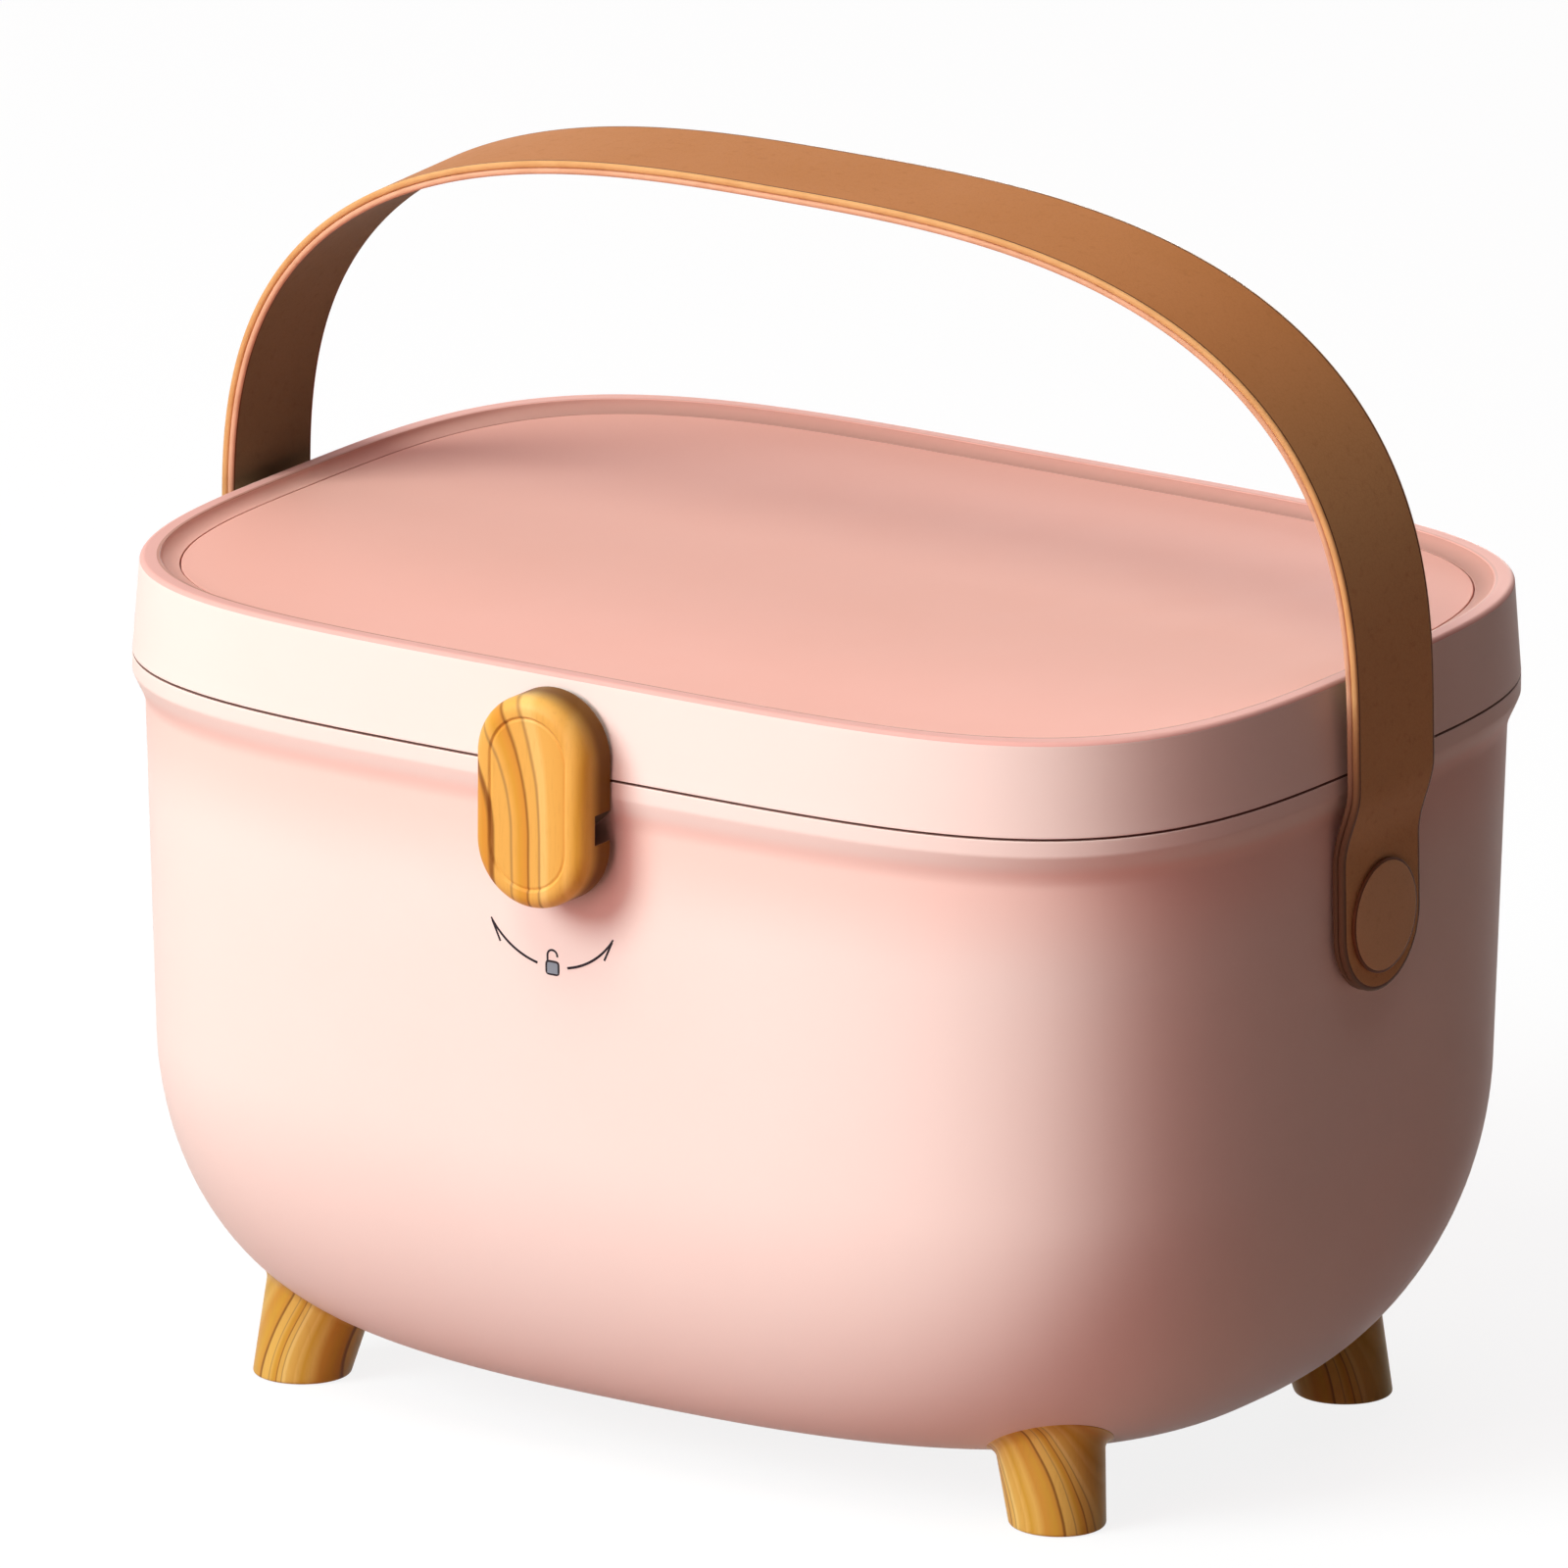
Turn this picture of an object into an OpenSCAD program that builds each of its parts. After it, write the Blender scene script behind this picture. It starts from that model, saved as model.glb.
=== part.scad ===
// A plastic medicine box with a hinged lid, a rotary latch, a strap handle that swings on two
// rivets, four splayed feet and a lift-out tray. Millimetres, Z up, origin on the floor below
// the middle of the box, X across the box's width and the front towards -Y.

/* [Box] */
// Width across the top of the lid
lid_w = 300; // [250:1:360]
// Depth across the top of the lid
lid_d = 222; // [190:1:270]
// Height of the lid above the seam
lid_h = 22.7; // [21:0.1:34]
// How far each lid side leans out from its top down to the seam
lid_lean = 1.4; // [0.2:0.1:2.4]
// Height of the body between its flat bottom and the seam
body_h = 162.5; // [140:0.5:210]
// Wall thickness of body and lid
wall = 2.6; // [2:0.1:3.4]
// Floor thickness of the body
floor_t = 3; // [2:0.1:5]
// Squareness of the plan along its width, where 2 is an ellipse
plan_x = 4.7; // [3.6:0.1:6]
// Squareness of the plan along its depth
plan_y = 3.4; // [2.8:0.1:5]
// Open seam between the lid and the body
seam_gap = 0.3; // [0.1:0.1:0.6]

/* [Body] */
// How far the flange stands out from the body wall
flange_out = 2.2; // [1:0.1:3.5]
// Upright height of the flange below the seam
flange_h = 4; // [2:0.5:8]
// Height of the curved step below the flange
step_h = 8.5; // [4:0.5:12]
// Draft of the body walls, in mm for each 100 mm of height
draft = 2.2; // [0.5:0.1:4]
// Width of the large rounding at the bottom
round_w = 38.5; // [24:0.5:44]
// Height of the large rounding at the bottom
round_h = 70.8; // [40:0.2:90]
// Squareness along the width at the flat bottom
bottom_x = 2.4; // [2:0.1:4]
// Squareness along the depth at the flat bottom
bottom_y = 2.2; // [2:0.1:3.4]

/* [Feet] */
// Space between the floor and the flat bottom
floor_gap = 12.5; // [8:0.5:24]
// Foot centres on the floor, inwards from the sides of the flange
foot_in_x = 46.4; // [40:0.2:60]
// Foot centres on the floor, inwards from the front and back of the flange
foot_in_y = 50.8; // [44:0.2:62]
// Radius of a foot on the floor
foot_r = 11.2; // [8:0.1:14]
// Radius that a foot grows by over its height
foot_grow = 3; // [0:0.5:6]
// Height of the cone that a foot is cut from
foot_cone_h = 36; // [30:1:44]
// Outward splay of the feet, in degrees
foot_splay = 13; // [0:1:16]
// How far the lip at the top of a foot stands out
foot_lip = 2; // [0.5:0.1:3]
// Depth of the lip below the body
foot_lip_t = 2; // [1:0.1:3]
// Radius of the foot screws
screw_r = 2; // [1.5:0.1:3]
// Radius of the screw heads
screw_head_r = 4; // [3.5:0.1:5.5]
// Thickness of the screw heads
screw_head_t = 2.4; // [1.6:0.1:3.5]
// Height of the screw bosses above the flat bottom
boss_h = 17; // [12:0.5:24]
// Radius of the screw bosses
boss_r = 6; // [5:0.5:8]
// How far above the floor the foot screws end
screw_tip = 5; // [3:0.5:8]

/* [Lid top] */
// Rounding of the rim's outer edge
rim_r = 1.2; // [0.5:0.1:2]
// Flat width of the rim
rim_flat = 3; // [2:0.5:5]
// Width of the hollow slope inside the rim
slope_w = 3.8; // [2:0.1:6]
// Depth of the panel below the rim
panel_drop = 2.4; // [1:0.1:4]
// Thickness of the inlaid panel
panel_t = 1.6; // [1:0.1:2.5]
// Gap round the inlaid panel
panel_gap = 0.3; // [0.1:0.05:0.6]

/* [Hinges] */
// Distance of each hinge from the middle
hinge_x = 75; // [50:1:90]
// Radius of the knuckles
knuckle_r = 4.5; // [3.5:0.1:6]
// Length of one knuckle
knuckle_l = 12; // [8:0.5:16]
// Gap between the knuckles and the flange
hinge_gap = 0.8; // [0.5:0.1:2]
// End gap between two knuckles
knuckle_gap = 0.4; // [0.2:0.1:1]
// Radius of the hinge pins
pin_r = 1.5; // [1:0.1:2.5]
// Radial clearance of a pin in the lid's knuckle
pin_clear = 0.1; // [0.05:0.05:0.3]

/* [Latch] */
// Width of the latch
latch_w = 30.2; // [24:0.2:36]
// Length of the latch
latch_l = 50.4; // [44:0.2:60]
// Thickness of the latch
latch_t = 12; // [10:0.5:16]
// Radius of the pivot plate in the back of the latch
plate_r = 12; // [8:0.5:13]
// Thickness of the pivot plate
plate_t = 2; // [1:0.1:3]
// Rounding of the latch's front edge
latch_edge = 3.5; // [1.5:0.1:4.5]
// Height of the latch's pivot above the seam
latch_up = 5.1; // [4.6:0.1:8]
// Gap between the flange and the back of the latch
latch_gap = 0.5; // [0.4:0.1:1.5]
// Distance from the latch's pivot to the catch stud
stud_reach = 21.6; // [20:0.1:24]
// Radius of the catch stud
stud_r = 2; // [1.6:0.1:3.4]
// Clearance round the stud in the latch's channel
stud_clear = 0.5; // [0.4:0.1:1.5]
// Depth of the channel in the back of the latch
channel_t = 6.6; // [4:0.1:8]
// Radius of the stud's shank in the wall
shank_r = 1.5; // [1.2:0.1:2.5]
// Radius of the stud's inner flange
stud_flange_r = 5; // [3.5:0.1:6]
// Thickness of the stud's inner flange
stud_flange_t = 1.2; // [0.8:0.1:2]
// Radius of the latch's pivot screw
pivot_r = 2; // [1.5:0.1:3]
// Radius of the pivot screw's head
pivot_head_r = 4; // [3.5:0.1:4.3]
// Thickness of the pivot screw's head
pivot_head_t = 1.6; // [1:0.1:2]
// Depth of the pivot screw in the latch
pivot_bite = 8; // [4:0.5:9]
// Radius of the latch's washer, which stays above the seam
latch_washer_r = 4.4; // [3:0.1:4.5]
// Radial clearance of the pivot screw in the lid wall
pivot_clear = 0.15; // [0.05:0.05:0.3]

/* [Handle] */
// Width of the strap
strap_w = 33.2; // [24:0.1:36]
// Thickness of the strap's outer ply
strap_t = 1.7; // [1:0.1:2.5]
// Thickness of the strap's lining
lining_t = 1.5; // [1:0.1:2.5]
// Gap between the flange and the strap
strap_gap = 2.4; // [1.5:0.1:5]
// Height of the strap's top above the lid
arch_rise = 95.8; // [80:0.1:120]
// How far below the lid's top the arch begins
arch_start = 12.9; // [8:0.1:25]
// Squareness of the arch along its width
arch_x = 2.83; // [2.3:0.01:3.2]
// Squareness of the arch along its height
arch_z = 2.67; // [2.4:0.01:3.4]
// How far the resting handle leans to the front, in degrees
strap_lean = 2; // [0:0.5:4]
// Depth of the rivets below the seam
rivet_drop = 36.3; // [34:0.1:44]
// How far the strap's round end reaches below the rivet
strap_end = 18; // [17:0.5:22]
// Height above the rivet at which the strap's bend starts
bend_start = 15.5; // [14:0.5:18]
// Height above the rivet at which the strap's bend ends
bend_end = 34.5; // [26:0.5:36]

/* [Rivets] */
// Radius of the rivet caps
cap_r = 13.5; // [10:0.1:13.5]
// Thickness of a cap at its edge
cap_edge = 0.8; // [0.5:0.1:3]
// Extra thickness of a cap at its middle
cap_dome = 0.4; // [0.2:0.1:3]
// Radius of the rivet shanks
rivet_r = 4; // [3:0.1:5]
// Radial clearance of the strap on the rivet
rivet_clear = 0.15; // [0.05:0.05:0.3]
// Radius of the washers behind the strap
washer_r = 11; // [7:0.5:13]
// Thickness of the washers behind the strap
washer_t = 0.6; // [0.4:0.1:1]
// Radius of the nuts inside the wall
nut_r = 9; // [6:0.5:12]
// Thickness of the nuts inside the wall
nut_t = 3; // [2:0.1:3.6]

/* [Tray] */
// Depth of the tray's top below the seam
tray_drop = 5; // [3:0.5:12]
// Depth of the tray
tray_depth = 42; // [30:1:60]
// Wall and floor thickness of the tray
tray_wall = 1.8; // [1.4:0.1:2.4]
// Gap between the tub of the tray and the body wall
tray_side = 5.5; // [5:0.1:8]
// Gap between the tray's rim and the body wall
rim_gap = 1.2; // [0.6:0.1:1.6]
// Thickness of the tray's rim
rim_t = 2.2; // [1.5:0.1:3]
// How far the tub's sides lean in over its depth
tray_lean = 2; // [1:0.1:4]
// Rounding of the tray's bottom edge
tray_round = 6; // [3:0.5:10]
// Width of the ledges that carry the tray
ledge_w = 20; // [10:1:30]
// Height of the ledges
ledge_h = 6; // [3:0.5:10]
// How far the ledges reach in from the wall
ledge_out = 3.6; // [2.8:0.1:4.4]
// Distance of the front and back ledges from the middle
ledge_x = 80; // [50:1:95]
// Distance of the side ledges from the middle
ledge_y = 45; // [30:1:55]
// Thickness of the dividers
divider_t = 1.8; // [1.2:0.1:2.4]
// Height of the dividers
divider_h = 33; // [20:0.5:38]
// Distance of the short dividers from the middle
divider_x = 46; // [30:1:70]
// End gap of the dividers
divider_gap = 0.3; // [0.2:0.1:0.6]
// Size of the guide ribs beside the dividers
guide = 2.2; // [1.5:0.1:3]

/* [Hidden] */
$fn = 64;

// Points round the plan, and steps of the rounded stretches
plan_n = 80;
round_steps = 9;
step_steps = 6;
rim_steps = 3;
slope_steps = 4;
arch_steps = 56;
bend_steps = 10;
end_steps = 6;
dome_steps = 6;
// Overlap of cutting shapes past a surface
cut = 1;
// Air between faces of different bodies, and beside walls that lean
air = 0.2;

// Half width and half depth of the outline at the seam
half_x = lid_w / 2 + lid_lean;
half_y = lid_d / 2 + lid_lean;
seam_z = floor_gap + body_h;
lid_z = seam_z + lid_h;
step_z = seam_z - flange_h - step_h;
round_z = floor_gap + round_h;
panel_z = lid_z - panel_drop;
ceiling_z = panel_z - panel_t - wall;
panel_in = lid_lean + rim_r + rim_flat + slope_w;
hinge_y = half_y + hinge_gap + knuckle_r;
pivot_z = seam_z + latch_up;
latch_y = half_y + latch_gap;
stud_z = pivot_z - stud_reach;
rivet_z = seam_z - rivet_drop;
strap_in_x = half_x - wall_inset(rivet_z) + washer_t + air;
strap_out_x = strap_in_x + strap_t + lining_t;
arch_half = half_x + strap_gap + strap_t + lining_t;
arch_base = lid_z - arch_start;
arch_h = arch_rise + arch_start;
tray_z = seam_z - tray_drop;
tub_z = tray_z - tray_depth;
foot_x = half_x - foot_in_x;
foot_y = half_y - foot_in_y;
boss_z = floor_gap + boss_h;

// Inset of the body's outer wall from the seam outline, without the bottom rounding
function wall_inset(z) = flange_out + draft / 100 * (step_z - z);
bottom_inset = wall_inset(floor_gap) + round_w;
function squareness_x(inset) = plan_x + (bottom_x - plan_x) * max(inset, 0) / bottom_inset;
function squareness_y(inset) = plan_y + (bottom_y - plan_y) * max(inset, 0) / bottom_inset;
function signed_power(v, e) = sign(v) * pow(abs(v), e);
// A smooth rise from 0 to 1
function ease(t) = t <= 0 ? 0 : t >= 1 ? 1 : t * t * (3 - 2 * t);

// One closed ring of a superellipse, as seen from above
function ring(hx, hy, sx, sy, z) = [
    for (i = [0:plan_n - 1])
        let (t = 360 * i / plan_n)
            [hx * signed_power(cos(t), 2 / sx), hy * signed_power(sin(t), 2 / sy), z]
];
// A ring at an inset from the seam outline, with the plan's own squareness
function plan_ring(inset, z) = ring(half_x - inset, half_y - inset, plan_x, plan_y, z);
// A ring of the body, whose plan grows rounder towards the bottom. side thickens the wall
function body_ring(inset, z, side = 0) = ring(
    half_x - inset - side, half_y - inset - side, squareness_x(inset), squareness_y(inset), z
);
// Where the plan's edge at an inset crosses a given x, and a given y
function edge_y(x, inset) = (half_y - inset) * pow(1 - pow(abs(x) / (half_x - inset), plan_x), 1 / plan_y);
function edge_x(y, inset) = (half_x - inset) * pow(1 - pow(abs(y) / (half_y - inset), plan_y), 1 / plan_x);
// Inset of the lid's outer wall at a height
function lid_inset(z) = lid_lean * (z - seam_z) / lid_h;
// The inside of the body wall at the seam
smooth_in = wall_inset(seam_z) + wall;

// A closed solid through a stack of rings that all have the same number of points
module loft(rings) {
    n = len(rings[0]);
    last = len(rings) - 1;
    polyhedron(
        points = [for (r = rings) each r],
        faces = concat(
            [[for (i = [0:n - 1]) i]],
            [[for (i = [n - 1:-1:0]) last * n + i]],
            [for (j = [0:last - 1], i = [0:n - 1]) [j * n + i, (j + 1) * n + i, (j + 1) * n + (i + 1) % n]],
            [for (j = [0:last - 1], i = [0:n - 1]) [j * n + i, (j + 1) * n + (i + 1) % n, j * n + (i + 1) % n]]
        ),
        convexity = 6
    );
}

// Body

// The rings of the large rounding, from the flat bottom up
rounding = [
    for (k = [0:round_steps])
        let (s = 90 - 90 * k / round_steps, z = round_z - round_h * sin(s))
            body_ring(wall_inset(z) + round_w * (1 - cos(s)), z)
];

// How the step draws in below the flange: it starts at a soft edge and runs out smoothly into the wall
function step_in(t) = flange_out * (ease(t) + t * (2 - t)) / 2;

module body_outer() {
    flange = [
        for (k = [0:step_steps])
            let (t = 1 - k / step_steps) body_ring(step_in(t), seam_z - flange_h - step_h * t)
    ];
    loft(concat(rounding, flange, [body_ring(0, seam_z)]));
}

module body_cavity() {
    hollow = [
        for (k = [0:round_steps])
            let (s = 90 - 90 * k / round_steps, z = round_z - (round_h - floor_t) * sin(s))
                body_ring(wall_inset(z) + round_w * (1 - cos(s)), z, wall)
    ];
    loft(concat(hollow, [body_ring(wall_inset(seam_z), seam_z + cut, wall)]));
}

module tray_ledges() {
    z = tray_z - rim_t - ledge_h;
    for (sx = [-1, 1], sy = [-1, 1]) {
        wall_y = edge_y(ledge_x, smooth_in);
        wall_x = edge_x(ledge_y, smooth_in);
        translate([sx * ledge_x - ledge_w / 2, sy > 0 ? wall_y - ledge_out : -wall_y - wall, z])
            cube([ledge_w, ledge_out + wall, ledge_h]);
        translate([sx > 0 ? wall_x - ledge_out : -wall_x - wall, sy * ledge_y - ledge_w / 2, z])
            cube([ledge_out + wall, ledge_w, ledge_h]);
    }
}

// A foot's centre line at height z, for the corner given by two signs
function foot_shift(z) = z * tan(foot_splay) / norm([foot_x, foot_y]);
function foot_at(sx, sy, z) = [sx * foot_x * (1 - foot_shift(z)), sy * foot_y * (1 - foot_shift(z))];
module at_feet() {
    for (sx = [-1, 1], sy = [-1, 1]) translate(foot_at(sx, sy, floor_gap)) children();
}

// A knuckle on the hinge line with a web back to the shell. up is 1 on the lid and -1 on the body
module knuckle(x, up) {
    back_y = edge_y(abs(x) + knuckle_l / 2, 0) - wall / 2;
    web_z = up > 0 ? seam_z + seam_gap : seam_z - knuckle_r;
    web_h = up > 0 ? knuckle_r - seam_gap : knuckle_r;
    translate([x - knuckle_l / 2, hinge_y, seam_z]) rotate([0, 90, 0]) cylinder(r = knuckle_r, h = knuckle_l);
    translate([x - knuckle_l / 2, back_y, web_z]) cube([knuckle_l, hinge_y - back_y, web_h]);
}
knuckle_pitch = knuckle_l + knuckle_gap;
module hinge_bores(r) {
    translate([-half_x, hinge_y, seam_z]) rotate([0, 90, 0]) cylinder(r = r, h = 2 * half_x);
}

module body_shell() {
    color("#f3c6bb")
        difference() {
            union() {
                difference() {
                    body_outer();
                    difference() {
                        body_cavity();
                        tray_ledges();
                        at_feet() cylinder(r = boss_r, h = boss_z);
                    }
                }
                for (side = [-1, 1], end = [-1, 1]) knuckle(side * hinge_x + end * knuckle_pitch, -1);
            }
            hinge_bores(pin_r);
            at_feet() cylinder(r = screw_r, h = boss_z + cut);
            for (side = [-1, 1])
                translate([side * half_x, 0, rivet_z]) rotate([0, 90, 0])
                    cylinder(r = rivet_r, h = 4 * (wall + flange_out), center = true);
            translate([0, -half_y, stud_z]) rotate([90, 0, 0])
                cylinder(r = shank_r, h = 4 * (wall + flange_out), center = true);
        }
}

// A splayed cone, made thicker by a given amount
module foot_cone(sx, sy, more) {
    low_r = foot_r - foot_grow * foot_r / foot_cone_h;
    translate([sx * foot_x, sy * foot_y, 0])
        rotate([0, 0, atan2(sy * foot_y, sx * foot_x)])
            rotate([0, -foot_splay, 0])
                translate([0, 0, -foot_r])
                    cylinder(r1 = low_r + more, r2 = foot_r + foot_grow + more, h = foot_cone_h + foot_r);
}

// A foot with a thin lip below the body, cut level at the floor and to the body's curve at its top
module foot(sx, sy) {
    color("#d9a05f")
        difference() {
            union() {
                foot_cone(sx, sy, 0);
                intersection() {
                    foot_cone(sx, sy, foot_lip);
                    translate([0, 0, -foot_lip_t]) loft(rounding);
                }
            }
            translate([-half_x, -half_y, -2 * foot_r]) cube([2 * half_x, 2 * half_y, 2 * foot_r]);
            loft(rounding);
            translate(concat(foot_at(sx, sy, floor_gap), [screw_tip])) cylinder(r = screw_r, h = boss_z);
        }
}

module foot_screws() {
    color("silver")
        at_feet() {
            translate([0, 0, screw_tip]) cylinder(r = screw_r, h = boss_z - screw_tip);
            translate([0, 0, boss_z]) cylinder(r = screw_head_r, h = screw_head_t);
        }
}

// Lid

module lid_outer() {
    edge = [
        for (k = [0:rim_steps])
            let (s = 90 * k / rim_steps)
                plan_ring(lid_lean + rim_r * (1 - cos(s)), lid_z - rim_r + rim_r * sin(s))
    ];
    loft(concat([plan_ring(0, seam_z + seam_gap)], edge));
}

// The hollow slope inside the rim and the pocket for the panel
module lid_recess() {
    slope = [
        for (k = [0:slope_steps])
            let (s = 90 - 90 * k / slope_steps)
                plan_ring(panel_in - slope_w * cos(s), lid_z - panel_drop * sin(s))
    ];
    top = panel_in - slope_w;
    loft(concat([plan_ring(panel_in, panel_z - panel_t)], slope, [plan_ring(top, lid_z + cut)]));
}

module lid_cavity() {
    loft([plan_ring(wall, seam_z - cut), plan_ring(lid_inset(ceiling_z) + wall, ceiling_z)]);
}

module lid_shell() {
    color("#f6ddd2")
        difference() {
            union() {
                difference() {
                    lid_outer();
                    lid_cavity();
                    lid_recess();
                }
                for (side = [-1, 1]) knuckle(side * hinge_x, 1);
            }
            hinge_bores(pin_r + pin_clear);
            translate([0, -half_y, pivot_z]) rotate([90, 0, 0])
                cylinder(r = pivot_r + pivot_clear, h = 4 * wall, center = true);
        }
}

module lid_panel() {
    color("#eab2a2")
        loft([
            plan_ring(panel_in + panel_gap, panel_z - panel_t),
            plan_ring(panel_in + panel_gap, panel_z)
        ]);
}

// One pin through the three knuckles of a hinge
module hinge_pin(side) {
    length = 2 * knuckle_pitch + knuckle_l;
    color("silver")
        translate([side * hinge_x - length / 2, hinge_y, seam_z]) rotate([0, 90, 0]) cylinder(r = pin_r, h = length);
}

// Latch. Shapes are drawn lying flat, with the pivot at the origin and the back at z = 0

latch_round = latch_w / 2;
latch_straight = latch_l - latch_w;

// Half of the cross-section of a pad with one rounded edge
module pad_profile(r, t, edge) {
    square([r - edge, t]);
    square([r, t - edge]);
    intersection() {
        translate([r - edge, t - edge]) circle(r = edge);
        translate([r - edge, t - edge]) square([edge, edge]);
    }
}

module latch_pad() {
    for (end = [0, 1])
        translate([0, -end * latch_straight, 0]) rotate_extrude() pad_profile(latch_round, latch_t, latch_edge);
    for (m = [0, 1])
        mirror([m, 0, 0]) rotate([90, 0, 0])
            linear_extrude(height = latch_straight) pad_profile(latch_round, latch_t, latch_edge);
}

// The arc that the stud runs along as the latch turns, and the slot through which it leaves as the lid lifts
module latch_channel() {
    channel_r = stud_r + stud_clear;
    translate([0, 0, -cut])
        difference() {
            cylinder(r = stud_reach + channel_r, h = channel_t + cut);
            translate([0, 0, -cut]) cylinder(r = stud_reach - channel_r, h = channel_t + 3 * cut);
        }
    translate([-channel_r, -latch_l, -cut]) cube([2 * channel_r, latch_l - stud_reach, channel_t + cut]);
}

module latch_place() {
    translate([0, -latch_y, pivot_z]) rotate([90, 0, 0]) children();
}

module latch_cover() {
    color("#dca35e")
        latch_place()
            difference() {
                latch_pad();
                latch_channel();
                translate([0, 0, -cut]) cylinder(r = plate_r, h = plate_t + cut);
                cylinder(r = pivot_r, h = pivot_bite);
            }
}

module latch_plate() {
    color("#5a4030")
        latch_place()
            difference() {
                cylinder(r = plate_r, h = plate_t);
                translate([0, 0, -cut]) cylinder(r = pivot_r, h = plate_t + 2 * cut);
            }
}

// Outer face of the lid wall behind the latch, measured from the latch's back
wall_behind = latch_gap + lid_inset(pivot_z);

module latch_screw() {
    head_z = -wall_behind - wall - 2 * air;
    color("silver")
        latch_place() {
            translate([0, 0, head_z]) cylinder(r = pivot_r, h = pivot_bite - head_z);
            translate([0, 0, head_z - pivot_head_t]) cylinder(r = pivot_head_r, h = pivot_head_t);
        }
}

// The washer is thinner than the gap to the flange, because the lid's wall leans out downwards
module latch_washer() {
    thickness = latch_gap - air / 2;
    color("#e8e2da")
        latch_place()
            translate([0, 0, -thickness])
                difference() {
                    cylinder(r = latch_washer_r, h = thickness);
                    translate([0, 0, -cut]) cylinder(r = pivot_r, h = thickness + 2 * cut);
                }
}

// A stud outside the wall, a shank through it and a flange inside it
module catch_stud() {
    wall_y = half_y - wall_inset(stud_z);
    color("#5a4030")
        translate([0, 0, stud_z]) rotate([90, 0, 0]) {
            translate([0, 0, wall_y + air]) cylinder(r = stud_r, h = latch_y + channel_t - stud_clear - wall_y - air);
            translate([0, 0, wall_y - wall - air]) cylinder(r = shank_r, h = wall + 2 * air);
            translate([0, 0, wall_y - wall - air - stud_flange_t]) cylinder(r = stud_flange_r, h = stud_flange_t);
        }
}

// Handle. Its outer face is a chain of [x, z, half width] from the right end over the top to the left end

function strap_x(u) = strap_out_x + (arch_half - strap_out_x) * ease((u - bend_start) / (bend_end - bend_start));
end_centre = strap_w / 2 - strap_end;
strap_side = concat(
    [
        for (k = [1:end_steps])
            let (s = 90 * k / end_steps)
                [strap_out_x, rivet_z + end_centre - strap_w / 2 * cos(s), strap_w / 2 * sin(s)]
    ],
    [
        for (k = [0:bend_steps])
            let (u = bend_start + (bend_end - bend_start) * k / bend_steps)
                [strap_x(u), rivet_z + u, strap_w / 2]
    ]
);
strap_arch = [
    for (k = [0:arch_steps])
        let (t = 180 * k / arch_steps)
            [
                arch_half * signed_power(cos(t), 2 / arch_x),
                arch_base + arch_h * pow(sin(t), 2 / arch_z),
                strap_w / 2
            ]
];
side_last = len(strap_side) - 1;
strap_line = concat(
    strap_side,
    strap_arch,
    [for (k = [side_last:-1:0]) [-strap_side[k][0], strap_side[k][1], strap_side[k][2]]]
);
strap_last = len(strap_line) - 1;

// A point of the chain moved inwards, square to the strap
function strap_point(k, depth) =
    let (
        a = strap_line[max(k - 1, 0)],
        b = strap_line[min(k + 1, strap_last)],
        along = [b[0] - a[0], b[1] - a[1]] / norm([b[0] - a[0], b[1] - a[1]])
    )
        [strap_line[k][0] - along[1] * depth, strap_line[k][1] + along[0] * depth];

// One ply of the strap between two depths below its outer face
module strap_ply(near, far) {
    rings = [
        for (k = [0:strap_last])
            let (o = strap_point(k, near), i = strap_point(k, far), w = strap_line[k][2])
                [[o[0], -w, o[1]], [o[0], w, o[1]], [i[0], w, i[1]], [i[0], -w, i[1]]]
    ];
    translate([0, 0, rivet_z]) rotate([strap_lean, 0, 0]) translate([0, 0, -rivet_z])
        difference() {
            loft(rings);
            rotate([0, 90, 0])
                translate([-rivet_z, 0, -2 * half_x]) cylinder(r = rivet_r + rivet_clear, h = 4 * half_x);
        }
}

module strap_outer() {
    color("#b9793f") strap_ply(0, strap_t);
}

module strap_lining() {
    color("#7a5138") strap_ply(strap_t, strap_t + lining_t);
}

// Rivets. Drawn along Z from the middle of the box outwards

module rivet_place(side) {
    translate([0, 0, rivet_z]) rotate([0, side * 90, 0]) children();
}
inner_x = half_x - wall_inset(rivet_z) - wall;
nut_x = inner_x - air - nut_t;
cap_x = strap_out_x + air;

// A shank with a domed cap, drawn as one turned outline
module rivet_cap(side) {
    dome = [
        for (k = [0:dome_steps])
            let (s = 90 * k / dome_steps) [cap_r * cos(s), cap_x + cap_edge + cap_dome * sin(s)]
    ];
    color("#9c6235")
        rivet_place(side)
            rotate_extrude()
                polygon(concat([[0, nut_x], [rivet_r, nut_x], [rivet_r, cap_x], [cap_r, cap_x]], dome));
}

module rivet_ring(side, x, r, t) {
    rivet_place(side)
        translate([0, 0, x])
            difference() {
                cylinder(r = r, h = t);
                translate([0, 0, -cut]) cylinder(r = rivet_r, h = t + 2 * cut);
            }
}

module rivet_washer(side) {
    color("#e8e2da") rivet_ring(side, strap_in_x - washer_t, washer_r, washer_t - air);
}

module rivet_nut(side) {
    color("#e8e2da") rivet_ring(side, nut_x, nut_r, nut_t);
}

// Tray

module tray_tub(thickness) {
    side = smooth_in + tray_side + thickness;
    low = tub_z + thickness;
    rounding = [
        for (k = [0:slope_steps])
            let (s = 90 - 90 * k / slope_steps, r = tray_round - thickness)
                plan_ring(side + tray_lean + r * (1 - cos(s)), low + r * (1 - sin(s)))
    ];
    loft(concat(rounding, [plan_ring(side, tray_z + (thickness > 0 ? cut : 0))]));
}

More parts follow.
